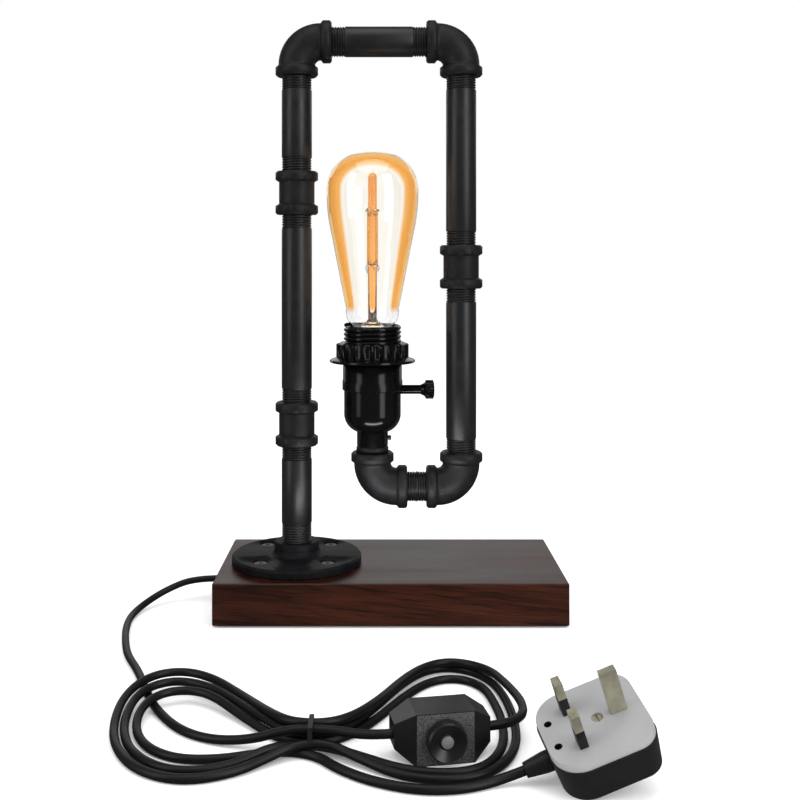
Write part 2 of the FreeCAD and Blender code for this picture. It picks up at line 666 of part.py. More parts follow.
def pipe_outline(length):
    """Half-section of a pipe threaded at both ends; the threads are cut below the pipe's skin."""
    bore, skin, run, nose = S.pipe_bore / 2, S.pipe_od / 2, S.thread_run, 0.8
    return [(bore, 0), (thread_r - nose, 0), (thread_r, nose), (thread_r, run), (skin, run + 0.5),
            (skin, length - run - 0.5), (thread_r, length - run), (thread_r, length - nose),
            (thread_r - nose, length), (bore, length)]


def make_pipe(label, length, x, y, z, turn=None):
    keep(put(turned("pipe_" + label, pipe_outline(length)), x, y, z, turn), label)


def make_close_pipe():
    """The short pipe of the bend, threaded from end to end."""
    bore, nose, length = S.pipe_bore / 2, 0.8, S.close_pipe
    body = turned("close", [(bore, 0), (thread_r - nose, 0), (thread_r, nose),
                            (thread_r, length - nose), (thread_r - nose, length), (bore, length)])
    keep(put(body, close_pipe_end, post_y, bend_level, ALONG_X), "close_pipe")


def band_outline(start, inward):
    """Half-section of an elbow's band, from its end face towards the elbow's middle."""
    edge = S.band_edge * inward
    root = start + S.band_long * inward
    return [(start, 0), (start, band_r - S.band_edge), (start + edge, band_r), (root, band_r),
            (root + S.band_root * inward, S.elbow_od / 2), (root + S.band_root * inward, 0)]


def make_elbow(label, x, z, turn=None):
    """A banded elbow with one port down and one to the right, turned to its place."""
    bend, way = S.elbow_reach - S.band_long - S.band_root, S.elbow_reach - socket_deep
    elbow = new_body("elbow_" + label)
    section = new_sketch(elbow, "section", "XY_Plane", -bend)
    draw_circle(section, 0, 0, S.elbow_od)
    off_axis(section, bend, -5, 5)
    turn_about(elbow, "bend", section, "Axis0", angle=90)
    across = draw(new_sketch(elbow, "band_x"), band_outline(S.elbow_reach, -1))
    turn_about(elbow, "band_right", across, "H_Axis")
    down = draw(new_sketch(elbow, "band_z"), [(r, z) for z, r in band_outline(-S.elbow_reach, 1)])
    turn_about(elbow, "band_down", down, "V_Axis")
    socket = box_outline(way, 0, S.elbow_reach + 1, socket_r)
    turn_about(elbow, "socket_right", draw(new_sketch(elbow, "socket_x"), socket),
               "H_Axis", "Groove")
    socket = box_outline(0, -S.elbow_reach - 1, socket_r, -way)
    turn_about(elbow, "socket_down", draw(new_sketch(elbow, "socket_z"), socket),
               "V_Axis", "Groove")
    water = new_sketch(elbow, "water", "XY_Plane", -way)
    draw_circle(water, 0, 0, S.fitting_bore)
    off_axis(water, way, -5, 5)
    turn_about(elbow, "waterway", water, "Axis0", "Groove", 90)
    keep(put(elbow, x, post_y, z, turn), label)


def make_coupling(label, x, z):
    """A straight coupling: a band at each end of a slimmer middle, threaded from both ends."""
    length, middle, way = S.coupling_long, S.coupling_od / 2, S.fitting_bore / 2
    edge, root, long = S.band_edge, S.band_root, S.band_long
    body = turned("coupling_" + label, [
        (socket_r, 0), (band_r - edge, 0), (band_r, edge), (band_r, long), (middle, long + root),
        (middle, length - long - root), (band_r, length - long), (band_r, length - edge),
        (band_r - edge, length), (socket_r, length), (socket_r, length - socket_deep),
        (way, length - socket_deep), (way, socket_deep), (socket_r, socket_deep)])
    keep(put(body, x, post_y, z), label)


def make_pipework():
    """The post, the level pipe, the drop and the bend, with every fitting."""
    make_pipe("post_lower_pipe", S.low_pipe, post_x, post_y, low_pipe_foot)
    make_coupling("post_lower_coupling", post_x, low_coupling)
    make_pipe("post_middle_pipe", S.mid_pipe, post_x, post_y, mid_pipe_foot)
    make_coupling("post_upper_coupling", post_x, up_coupling)
    make_pipe("post_upper_pipe", S.up_pipe, post_x, post_y, up_pipe_foot)
    make_elbow("top_left_elbow", post_x, top_level)
    make_pipe("top_pipe", S.top_pipe, top_pipe_end, post_y, top_level, ALONG_X)
    make_elbow("top_right_elbow", drop_x, top_level, FreeCAD.Rotation(V(0, 0, 1), 180))
    make_pipe("drop_upper_pipe", S.drop_pipe, drop_x, post_y, drop_pipe_foot)
    make_coupling("drop_coupling", drop_x, drop_coupling)
    make_pipe("drop_lower_pipe", S.foot_pipe, drop_x, post_y, foot_pipe_foot)
    make_elbow("bend_right_elbow", drop_x, bend_level, FreeCAD.Rotation(V(0, 1, 0), 180))
    make_close_pipe()
    make_elbow("bend_left_elbow", lamp_x, bend_level, FreeCAD.Rotation(V(1, 0, 0), 180))


def sagitta_radius(dx, dz):
    """Radius of the arc that leaves a straight side square on and ends dx in and dz along."""
    return (dx * dx + dz * dz) / (dx * 2)


def make_bush_and_stud():
    """The reducing bush in the bend's upward port, and the hollow stud that carries the holder."""
    bore, nose = S.stud_od / 2 + S.thread_gap, 0.8
    collar = S.bush_od / 2
    body = turned("bush", [
        (bore, -S.thread_grip), (thread_r - nose, -S.thread_grip), (thread_r, nose - S.thread_grip),
        (thread_r, 0), (collar - nose, 0), (collar, nose), (collar, S.bush_collar - nose),
        (collar - nose, S.bush_collar), (bore, S.bush_collar)])
    keep(put(body, lamp_x, post_y, port_top), "reducing_bush")
    hole, rim = S.stud_bore / 2, S.stud_od / 2
    stud = turned("stud", [(hole, 0), (rim - 0.5, 0), (rim, 0.5), (rim, S.stud_long - 0.5),
                           (rim - 0.5, S.stud_long), (hole, S.stud_long)])
    keep(put(stud, lamp_x, post_y, cap_foot + S.cap_floor - 1 - S.stud_long), "hollow_stud")


def key_hole(body, level):
    """The round notch for the key's stem, cut out to the right only."""
    line = draw_circle(new_sketch(body, "key_line", "YZ_Plane"), 0, level,
                       S.key_stem + S.key_slack * 2)
    cut(body, "key_hole", line, S.collar_od, Reversed=True)


def make_cap():
    """The lampholder's cap: neck, rounded foot and straight side, open at its rim."""
    bore, neck, side = S.stud_od / 2 + S.thread_gap, S.neck_od / 2, S.cap_od / 2
    foot, rim, inner = S.neck_long, S.neck_long + S.cap_tall, S.cap_od / 2 - S.cap_wall
    cap = turned("cap", [
        (bore, 0), (neck - 0.6, 0), (neck, 0.6), (neck, foot),
        (side, foot + S.cap_round, S.cap_round, 1), (side, rim), (inner, rim),
        (inner, foot + S.cap_round), (neck, foot + S.cap_floor), (bore, foot + S.cap_floor)])
    key_hole(cap, rim + S.key_level)
    screw = draw_circle(new_sketch(cap, "grub_line", "YZ_Plane"), 0, foot * S.grub_level,
                        S.small_screw + S.thread_gap * 2)
    cut(cap, "grub_hole", screw, S.cap_od, Reversed=True)
    keep(put(cap, lamp_x, post_y, neck_foot), "holder_cap")


def make_grub_screw():
    """The small screw that stops the neck from turning on the stud."""
    shank, head = S.small_screw / 2, S.grub_head / 2
    start, shoulder_at = S.stud_od / 2 + 0.1, S.neck_od / 2 + 0.1
    screw = turned("grub", [(0, start), (shank, start), (shank, shoulder_at), (head, shoulder_at),
                            (head, shoulder_at + S.grub_head_tall - 0.4),
                            (head - 0.4, shoulder_at + S.grub_head_tall),
                            (0, shoulder_at + S.grub_head_tall)])
    keep(put(screw, lamp_x, post_y, neck_foot + S.neck_long * S.grub_level, ALONG_X),
         "neck_screw")


def make_skirt():
    """The holder's skirt: joint band, plain wall, shoulder and the threaded mouth."""
    band, wall, mouth, bore = S.collar_od / 2, S.skirt_od / 2, S.mouth_od / 2, S.mouth_bore / 2
    step = S.collar_long + S.skirt_tall
    skirt = turned("skirt", [
        (wall - S.cap_wall, 0), (band - 0.4, 0), (band, 0.4), (band, S.collar_long),
        (wall, S.collar_long + 0.4), (wall, step - 0.8), (wall - 0.8, step), (mouth, step),
        (mouth, step + S.mouth_tall - 1), (mouth - 1, step + S.mouth_tall),
        (bore, step + S.mouth_tall), (bore, step), (wall - S.cap_wall, step - 3)])
    key_hole(skirt, S.key_level - S.joint_gap)
    keep(put(skirt, lamp_x, post_y, skirt_foot), "holder_skirt")


def make_shade_ring():
    """The shade ring: drooping flange and ribbed collar, hollow from below, on the mouth's thread."""
    bore, root = S.mouth_od / 2 + S.ring_gap, S.ring_od / 2 - S.rib_deep
    rim, plate, droop, tall = S.ring_flange / 2, S.ring_plate, S.ring_dish, S.ring_tall
    ring = turned("ring", [
        (bore, 0), (bore + S.ring_wall, 0), (bore + S.ring_wall, tall - 3),
        (root - S.ring_wall, tall - 3), (root - S.ring_wall, 0), (root, 0),
        (rim - 0.7, -droop), (rim, 0.7 - droop), (rim - 0.5, plate - droop),
        (root + 1.2, plate), (root, plate + 1.2), (root, tall - 1), (root - 1, tall), (bore, tall)])
    rib = draw(new_sketch(ring, "rib_line", "XY_Plane", plate), [
        (root - 1, -S.rib_wide / 2), (root + S.rib_deep, -S.rib_wide * 0.3),
        (root + S.rib_deep, S.rib_wide * 0.3), (root - 1, S.rib_wide / 2)])
    pad = feature(ring, "Pad", "rib", rib, Length=tall - plate - 1)
    doc.recompute()
    pattern = around(ring, [pad], S.rib_count, rib, "ribs")
    pattern.Axis = (rib, ["N_Axis"])
    keep(put(ring, lamp_x, post_y, ring_foot), "shade_ring")


def make_key():
    """The switch key: a stem with a flared shoulder and a ribbed knob, along its own Z."""
    stem, knob, reach = S.key_stem / 2, S.key_knob / 2 - S.key_rib_deep, S.key_reach
    end = reach + S.key_knob_long
    key = turned("key", [
        (0, S.key_root), (stem, S.key_root), (stem, reach - 3), (stem + 1.4, reach - 0.2),
        (knob - 0.8, reach), (knob, reach + 0.8), (knob, end - 0.8), (knob - 0.8, end - 0.2),
        (2, end), (0, end)])
    rib = draw(new_sketch(key, "rib_line", "XY_Plane", reach + 0.8), [
        (knob - 0.8, -S.key_rib_wide / 2), (knob + S.key_rib_deep, -S.key_rib_wide / 4),
        (knob + S.key_rib_deep, S.key_rib_wide / 4), (knob - 0.8, S.key_rib_wide / 2)])
    pad = feature(key, "Pad", "rib", rib, Length=S.key_knob_long - 1.6)
    doc.recompute()
    pattern = around(key, [pad], S.key_ribs, rib, "ribs")
    pattern.Axis = (rib, ["N_Axis"])
    keep(put(key, lamp_x, post_y, key_axis, ALONG_X), "switch_key")
    half = S.rotor_dia / 2
    rotor = turned("rotor", [(0, S.rotor_root), (half, S.rotor_root), (half, S.key_root),
                             (0, S.key_root)])
    flat = draw(new_sketch(rotor, "flat_line", "XY_Plane", S.rotor_root),
                box_outline(half * 0.55, -half, half + 1, half))
    cut(rotor, "flat", flat, (S.key_root - S.rotor_root) * 0.6, Reversed=True)
    keep(put(rotor, lamp_x, post_y, key_axis, ALONG_X), "switch_rotor")


def make_insert():
    """The moulded insert: it sits on the skirt's wall, holds the contacts and turns the rotor."""
    flange, body, low = S.skirt_od / 2 - S.cap_wall - 0.2, S.insert_od / 2, S.insert_drop
    top = contact_foot - cap_rim - S.contact_bow
    insert = turned("insert", [
        (0, -low), (body - 2, -low), (body, 2 - low), (body, -3), (flange - 1.6, -3),
        (flange - 1.6, S.joint_gap), (flange, S.joint_gap), (flange, 5), (body, 7), (body, top),
        (0, top)])
    hole = draw_circle(new_sketch(insert, "rotor_line", "YZ_Plane", S.rotor_root - 0.5), 0,
                       S.key_level, S.rotor_dia + 0.8)
    cut(insert, "rotor_hole", hole, S.cap_od, Reversed=True)
    wires = new_sketch(insert, "wire_line", "XY_Plane", -low)
    for side in (-1, 1):
        draw_circle(wires, -S.terminal_out, S.terminal_out * side, S.small_screw + 0.1)
    cut(insert, "terminal_holes", wires, S.terminal_long - 1, Reversed=True)
    keep(put(insert, lamp_x, post_y, cap_rim), "socket_insert")
    screws = new_body("terminals")
    line = new_sketch(screws, "shanks", "XY_Plane", S.terminal_head_tall)
    heads = new_sketch(screws, "heads", "XY_Plane")
    for side in (-1, 1):
        draw_circle(line, -S.terminal_out, S.terminal_out * side, S.small_screw)
        draw_circle(heads, -S.terminal_out, S.terminal_out * side, S.small_head)
    feature(screws, "Pad", "head", heads, Length=S.terminal_head_tall)
    feature(screws, "Pad", "shank", line, Length=S.terminal_long - 2)
    keep(put(screws, lamp_x, post_y, cap_rim - low - S.terminal_head_tall), "terminal_screws")


def make_contacts():
    """The screw shell in the mouth, its foot strip, and the sprung centre contact."""
    bore, wall = S.shell_bore / 2, S.shell_wall
    foot = contact_foot - S.contact_bow
    rise = screw_cap_top - S.shell_below - S.shell_tall - foot
    shell = turned("shell", [
        (bore, rise), (bore + wall, rise), (bore + wall, rise + S.shell_tall - S.shell_lip),
        (bore + wall + S.shell_flare, rise + S.shell_tall), (bore + S.shell_flare, rise + S.shell_tall),
        (bore, rise + S.shell_tall - S.shell_lip)])
    for side in (-1, 1):
        leg = draw(new_sketch(shell, f"leg_{side + 1}", "XY_Plane"),
                   centred_box(wall, S.leg_wide, (bore + wall / 2) * side, 0))
        feature(shell, "Pad", f"leg_pad_{side + 1}", leg, Length=rise + 1)
    keep(put(shell, lamp_x, post_y, foot), "screw_shell")
    bow, bend = S.contact_bow - S.lead_ease, S.strip_foot - S.strip_back
    pad = bend + S.strip_rise
    strip = extruded("strip", [
        (-S.strip_back, 0), (S.strip_front, 0), (S.strip_front, wall), (pad + S.strip_pad, bow),
        (pad, bow), (bend, wall), (-S.strip_back, wall)], S.strip_wide, "XZ_Plane", Midplane=True)
    keep(put(strip, lamp_x, post_y, foot), "centre_contact")


def glass_outline():
    """Half-section of the blown glass: crown, shoulder, straight flank, heel and neck."""
    def shell(offset, order):
        wide, crown = S.bulb_dia / 2 - offset, S.bulb_crown - offset * 0.4
        flank, heel, neck = S.bulb_flank - offset, S.bulb_heel - offset, S.bulb_neck - offset
        top, drop = bulb_top - screw_cap_top - offset, S.bulb_crown_drop
        wide_z, flank_z = (bulb_top - screw_cap_top - at
                           for at in (S.bulb_wide_at, S.bulb_flank_at))
        heel_z = mouth_top + S.bulb_heel_up - screw_cap_top
        low = S.neck_inside
        points = [(0, top), (crown, top - drop), (wide, wide_z), (flank, flank_z),
                  (heel, heel_z), (neck, low), (neck, -low)]
        radii = [sagitta_radius(drop, crown), sagitta_radius(wide - crown, top - drop - wide_z),
                 sagitta_radius(wide - flank, wide_z - flank_z), None, S.heel_round - offset]
        if order < 0:
            points.reverse()
            radii.reverse()
        result = [points[0]]
        spans = radii + [None] if order > 0 else [None] + radii
        for point, radius in zip(points[1:], spans):
            result.append(point if radius is None else (*point, radius, -order))
        return result
    return shell(0, 1) + shell(S.glass_wall, -1)


def make_bulb():
    """The filament bulb: glass, screw cap, insulator, contact, stem and filaments."""
    keep(put(turned("glass", glass_outline()), lamp_x, post_y, screw_cap_top), "bulb_glass")
    rim, wall, tall = S.screw_cap_od / 2, S.screw_cap_wall, S.screw_cap_tall
    inner = rim - wall
    neck = S.bulb_neck - S.glass_wall - 0.1
    slope = S.cap_slope
    cap = turned("bulb_shell", [
        (inner - slope, 0), (rim - slope, 0), (rim, slope), (rim, tall), (inner, tall),
        (inner, slope + wall / 2), (inner - slope, wall / 2)])
    keep(put(cap, lamp_x, post_y, screw_cap_foot), "bulb_cap")
    bead, tip = rim - slope - S.bead_side, S.contact_dia / 2
    keep(put(turned("bead", [
        (0, 0), (tip, 0), (tip + S.bead_ledge, S.bead_side), (bead, slope), (bead, S.bead_deep),
        (0, S.bead_deep)]), lamp_x, post_y, screw_cap_foot - slope), "bulb_insulator")
    keep(put(turned("tip", [(0, 0), (tip - S.contact_edge, 0), (tip, S.contact_edge),
                            (tip, S.contact_tall), (0, S.contact_tall)]),
             lamp_x, post_y, contact_foot), "bulb_contact")
    stem, top = S.stem_dia / 2, mouth_top + S.stem_rise - screw_cap_top
    flare = -S.neck_inside
    keep(put(turned("stem", [
        (0, flare), (neck, flare), (neck, flare + S.stem_lip), (stem, flare + S.stem_flare),
        (stem, top - stem), (0, top, stem, 1)]), lamp_x, post_y, screw_cap_top), "bulb_stem")
    sticks = new_body("sticks")
    circle = new_sketch(sticks, "circle", "XY_Plane")
    draw_circle(circle, S.filament_circle / 2, 0, S.filament_dia)
    stick = feature(sticks, "Pad", "stick", circle, Length=S.filament_long)
    doc.recompute()
    pattern = around(sticks, [stick], S.filament_count, circle, "sticks_round")
    pattern.Axis = (circle, ["N_Axis"])
    keep(put(sticks, lamp_x, post_y, mouth_top + S.filament_foot, DIAGONAL), "bulb_filaments")
    rings = new_body("rings")
    inner, outer = stem + 0.2, S.filament_circle / 2 + 0.6
    for number, foot in enumerate((-S.support_tall, S.filament_long + 0.3)):
        line = new_sketch(rings, f"line_{number}")
        draw(line, box_outline(inner, foot, outer, foot + S.support_tall - 0.3))
        turn_about(rings, f"turn_{number}", line, "V_Axis")
    keep(put(rings, lamp_x, post_y, mouth_top + S.filament_foot), "filament_rings")


# Where the lead runs; the points of its free stretches are chosen by hand.
lead_r = S.lead_dia / 2
lead_hole_r = lead_r + S.lead_ease
exit_x = place("exit_x", S.gland_lip + S.base_width / 2)
exit_y = place("exit_y", post_y + S.lead_back)
exit_z = place("exit_z", S.pad_thick + S.lead_rise)
pocket_roof = place("pocket_roof", S.pad_thick + S.cover_thick + S.pocket_deep)
LEAD_POINTS = [(-119.7, 3, 15.2), (-139, 3, 15.2), (-157, -3, 9.5), (-170, -17, 4), (-175, -38, 2.3),
               (-172.5, -61, 2.3), (-167, -85, 2.3), (-160, -108, 2.3), (-148.8, -130.1, 2.3),
               (-140, -149.2, 2.3)]
TAIL_POINTS = [(-36, -233.7, 2.3), (-36, -247, 2.3), (-25, -260, 2.3), (-6, -268, 2.3),
               (14, -270, 2.3), (31, -267.5, 2.3), (48.8, -260.2, 2.3), (62.97, -259, 7.47)]
TO_DIMMER = [(-32, -229, 11.7), (-18.5, -233.8, 11.7), (-6.5, -236.2, 12.5), (2.3, -234.65, 12.5)]
FROM_DIMMER = [(43.7, -227.35, 12.5), (54, -225.5, 12.5), (61.5, -217.5, 12.2),
               (63.5, -205.5, 11.8), (62, -190, 11.5)]
HANK_OUTLINE = [
    (-28.68, -219.7), (-12, -184), (4, -150), (20, -130), (38, -125), (54, -136), (63, -162),
    (65, -192), (64, -224), (52, -252), (34, -262), (8, -263), (-14, -250), (-33.68, -233.7),
    (-50, -233.7), (-68, -251), (-90, -263), (-114, -261), (-134, -243), (-147, -208),
    (-149, -174), (-146, -152), (-118, -139), (-96, -147), (-70, -181), (-50, -219.7)]
LEFT_EYE = [(-66, -222), (-84, -195), (-104, -172), (-122, -172), (-132, -190), (-130, -216),
            (-118, -236), (-96, -244), (-78, -238)]
RIGHT_EYE = [(-20, -218), (0, -180), (18, -152), (34, -144), (46, -158), (52, -188), (53, -220),
             (48, -240), (34, -248), (10, -249), (-8, -242), (-21, -229)]
WAIST = [(-50, -233.7), (-33.68, -233.7), (-28.68, -219.7), (-50, -219.7)]


def rounded_path(points, bend=None):
    """Straight runs joined by tangent arcs, each as large as its two runs allow."""
    points = [V(*point) for point in points]
    edges, here = [], points[0]
    for before, corner, after in zip(points, points[1:], points[2:]):
        into, out = corner - before, after - corner
        half = into.getAngle(out) / 2
        reach = 0.45 * min(into.Length, out.Length)
        if bend:
            reach = min(reach, bend * math.tan(half))
        radius = reach / math.tan(half)
        print(f"  bend radius {radius:.1f}")
        start = corner - into.normalize() * reach
        end = corner + out.normalize() * reach
        inward = ((start + end) * 0.5 - corner).normalize()
        middle = corner + inward * radius * (1 / math.cos(half) - 1)
        edges.append(Part.LineSegment(here, start).toShape())
        edges.append(Part.Arc(start, middle, end).toShape())
        here = end
    edges.append(Part.LineSegment(here, points[-1]).toShape())
    return Part.Wire(edges)


def make_tube(label, points, bend=None):
    """A round lead along a rounded path."""
    print(label)
    path = rounded_path(points, bend)
    along = V(*points[1]) - V(*points[0])
    section = Part.Wire(Part.makeCircle(lead_r.number, V(*points[0]), along))
    item = doc.addObject("Part::Feature", label)
    item.Shape = path.makePipeShell([section], True, False)
    share = item.Shape.Volume / (math.pi * lead_r.number ** 2 * path.Length)
    print(f"  {path.Length:.0f} mm long, volume over section times length {share:.4f}")
    return keep(item, label)


def make_leads():
    """The lead inside the lamp, then its free stretches."""
    x, y = post_x.number, post_y.number
    top, low, end_x = top_level.number, bend_level.number, lamp_x.number
    height = exit_z.number
    inner = [(-exit_x.number, exit_y.number, height),
             (x - S.riser_lead.number, exit_y.number, height), (x, y, height), (x, y, top),
             (drop_x.number, y, top), (drop_x.number, y, low), (end_x, y, low),
             (end_x, y, cap_foot.number + S.lead_end.number)]
    make_tube("inner_lead", inner, S.elbow_reach.number - socket_deep.number)
    make_tube("mains_lead", LEAD_POINTS)
    make_tube("lead_to_dimmer", TO_DIMMER)
    make_tube("lead_from_dimmer", FROM_DIMMER)
    make_tube("lead_tail", TAIL_POINTS)


def make_gland():
    """The grommet at the lead's exit: a lip outside the block and a body in its hole."""
    body, lip = S.gland_od / 2, S.gland_lip_od / 2
    gland = turned("gland", [
        (lead_hole_r, 0), (lip - S.gland_lip / 2, 0), (lip, S.gland_lip / 2), (lip, S.gland_lip),
        (body, S.gland_lip), (body, S.gland_long), (lead_hole_r, S.gland_long)])
    keep(put(gland, -exit_x, exit_y, exit_z, ALONG_X), "lead_gland")


def make_clamp():
    """The saddle that holds the lead under the pocket's roof, with an ear on each side."""
    half, saddle, roof = S.clamp_long / 2, lead_r + S.clamp_wall, pocket_roof - exit_z
    clamp = extruded("clamp", [
        (-saddle, -saddle), (saddle, -saddle), (saddle, roof - S.clamp_ear),
        (half, roof - S.clamp_ear), (half, roof), (-half, roof), (-half, roof - S.clamp_ear),
        (-saddle, roof - S.clamp_ear)], S.clamp_wide, "YZ_Plane", Midplane=True)
    lead = draw_circle(new_sketch(clamp, "lead_line", "YZ_Plane"), 0, 0, lead_hole_r * 2)
    cut(clamp, "lead_hole", lead, S.clamp_wide * 2, Midplane=True)
    holes = new_sketch(clamp, "screw_line", "XY_Plane", roof)
    for side in (-1, 1):
        draw_circle(holes, 0, S.clamp_screw_out * side, S.small_screw + S.thread_gap * 2)
    cut(clamp, "screw_holes", holes, S.clamp_ear + 1)
    sinks = new_sketch(clamp, "sink_line", "XY_Plane", roof - S.clamp_ear)
    for side in (-1, 1):
        draw_circle(sinks, 0, S.clamp_screw_out * side, S.small_head + S.thread_gap * 2)
    cut(clamp, "sinks", sinks, S.head_sunk + (S.small_head - S.small_screw) / 2, Reversed=True)
    keep(put(clamp, post_x - S.clamp_back, exit_y, exit_z), "lead_clamp")


def make_hank():
    """The bundled lead as one solid of its outer shape, and the wire tie round its waist."""
    hank = extruded("hank", HANK_OUTLINE, S.hank_tall)
    for name, eye in (("left_eye", LEFT_EYE), ("right_eye", RIGHT_EYE)):
        line = draw(new_sketch(hank, name + "_line", "XY_Plane"), eye)
        cut(hank, name, line, S.hank_tall + 1, Reversed=True)
    waist = draw(new_sketch(hank, "waist_line", "XY_Plane"), WAIST)
    feature(hank, "Pad", "waist", waist, Length=S.waist_tall)
    keep(hank, "lead_hank")
    near, far = WAIST[0][1], WAIST[-1][1]
    gap = S.thread_gap
    inside = box_outline(near - gap, 0, far + gap, S.waist_tall + gap)
    outside = box_outline(near - gap - S.tie_thick, 0, far + gap + S.tie_thick,
                          S.waist_tall + gap + S.tie_thick)
    tie = extruded("tie", outside, S.tie_wide, "YZ_Plane", -S.tie_at, Midplane=True)
    cut(tie, "inside", draw(new_sketch(tie, "inside_line", "YZ_Plane", -S.tie_at), inside),
        S.tie_wide * 2, Midplane=True)
    keep(tie, "lead_tie")


# The dimmer stands on its long edge, its lead level, its knob towards the front.
DIMMER_TURN = FreeCAD.Rotation(V(0, 0, 1), 10)
KNOB_TURN = DIMMER_TURN * FreeCAD.Rotation(V(1, 0, 0), 90)
dimmer_place = (23, -231, S.dimmer_tall / 2)


def octagon(inset):
    """The dimmer's outline from the front, pulled in by an inset."""
    x, z = S.dimmer_long / 2 - inset, S.dimmer_tall / 2 - inset
    nose, flat = S.dimmer_nose / 2, S.dimmer_long / 2 - S.dimmer_end
    return [(-x, -nose), (-flat, -z), (flat, -z), (x, -nose), (x, nose), (flat, z), (-flat, z),
            (-x, nose)]


def lead_hole(body):
    """The lead's hole through both ends of a dimmer shell."""
    line = draw_circle(new_sketch(body, "lead_line", "YZ_Plane"), 0, 0, lead_hole_r * 2)
    cut(body, "lead_hole", line, S.dimmer_long + 1, Midplane=True)


def make_dimmer_shells():
    """The two halves of the case, parted along the lead; the front one has sloped ends."""
    front, back, wall = S.dimmer_front, S.dimmer_back, S.dimmer_wall
    x, flat = S.dimmer_long / 2, S.dimmer_long / 2 - S.dimmer_end
    shell = extruded("front_shell", octagon(0), front, "XZ_Plane")
    wedges = new_sketch(shell, "wedges", "XY_Plane")
    for side in (-1, 1):
        draw(wedges, [(x * side, S.dimmer_slope - front), ((x + 1) * side, S.dimmer_slope - front),
                      ((x + 1) * side, -front - 1), (flat * side, -front - 1),
                      (flat * side, -front)])
    cut(shell, "ends", wedges, S.dimmer_tall * 2, Midplane=True)
    hollow = draw(new_sketch(shell, "hollow_line"), octagon(wall))
    cut(shell, "hollow", hollow, S.end_hollow, Reversed=True)
    middle = centred_box(flat * 2, S.dimmer_tall - wall * 2)
    cut(shell, "middle", draw(new_sketch(shell, "middle_line"), middle), front - wall,
        Reversed=True)
    bush = draw_circle(new_sketch(shell, "bush_line"), 0, 0, S.shaft_dia + S.shaft_slack * 2)
    cut(shell, "bush", bush, front + 1, Reversed=True)
    lead_hole(shell)
    keep(put(shell, *dimmer_place, DIMMER_TURN), "dimmer_front_shell")
    shell = extruded("back_shell", octagon(0), back, "XZ_Plane", Reversed=True)
    hollow = draw(new_sketch(shell, "hollow_line"), octagon(wall))
    cut(shell, "hollow", hollow, back - wall)
    lead_hole(shell)
    keep(put(shell, *dimmer_place, DIMMER_TURN), "dimmer_back_shell")


def make_dimmer_works():
    """The knob, the shaft with its domed nub, and the control that they turn."""
    inside, seat = S.dimmer_front - S.dimmer_wall, S.dimmer_front + S.knob_gap
    shaft, rim, edge = S.shaft_dia / 2, S.knob_dia / 2, S.knob_edge
    top, dish = seat + S.knob_tall, seat + S.knob_tall - S.knob_dish
    nub, nub_top = S.nub_dia / 2, dish + S.nub_tall
    foot = inside - S.pot_tall
    bore = shaft + S.thread_gap
    knob = turned("knob", [
        (bore, seat), (rim - edge, seat), (rim, seat + edge), (rim - edge / 2, top - edge),
        (rim - edge * 1.5, top), (nub + S.nub_tall, dish), (bore, dish)])
    keep(put(knob, *dimmer_place, KNOB_TURN), "dimmer_knob")
    spindle = turned("spindle", [
        (0, foot + S.pot_gap * 4), (shaft, foot + S.pot_gap * 4), (shaft, dish), (nub, dish),
        (nub, nub_top), (0, nub_top + S.nub_dome, sagitta_radius(S.nub_dome, nub), 1)])
    keep(put(spindle, *dimmer_place, KNOB_TURN), "dimmer_shaft")
    pot, inner = S.pot_dia / 2, shaft + S.pot_gap
    control = turned("control", [
        (0, foot), (pot, foot), (pot, inside - S.pot_gap), (inner, inside - S.pot_gap),
        (inner, foot + S.pot_gap * 3), (0, foot + S.pot_gap * 3)])
    keep(put(control, *dimmer_place, KNOB_TURN), "dimmer_control")


# The plug lies on its back, one corner down. Its own X is across the line pins, its own Y
# towards the earth pin and its own Z out of its face.
PLUG_AT = (91, -260)
PLUG_TURN = (FreeCAD.Rotation(V(0, 0, 1), -85) * FreeCAD.Rotation(V(1, 0, 0), 20)
             * FreeCAD.Rotation(V(0, 1, 0), 16))
line_y = S.earth_above - S.pins_down
line_x = S.pins_down / 2
plug_lead_z = -S.plug_face - S.plug_deep / 2


def plug_outline(inset):
    """The plug from its face, with larger corners at the lead's side."""
    x, y = S.plug_wide / 2 - inset, S.plug_tall / 2 - inset
    low, high = S.plug_round - inset, S.plug_corner - inset
    return [(x - low, -y), (x, -y + low, low, 1), (x, y - high), (x - high, y, high, 1),
            (-x + high, y), (-x, y - high, high, 1), (-x, -y + low), (-x + low, -y, low, 1)]


def make_face_plate():
    """The plug's face plate with its slots and screw holes."""
    gap = S.thread_gap * 2
    plate = extruded("face_plate", plug_outline(S.plug_inset), S.plug_face, "XY_Plane",
                     -S.plug_face)
    holes = new_sketch(plate, "hole_line", "XY_Plane")
    draw(holes, centred_box(S.pin_thick + gap, S.earth_wide + gap, 0, S.earth_above))
    draw_circle(holes, 0, S.cover_screw_up, S.cover_screw + gap)
    for side in (-1, 1):
        draw(holes, centred_box(S.line_wide + gap, S.pin_thick + gap, line_x * side, line_y))
        draw_circle(holes, S.grip_hole_out * side, -S.grip_hole_low, S.grip_hole_dia)
    cut(plate, "holes", holes, S.plug_face + 1)
    return plate


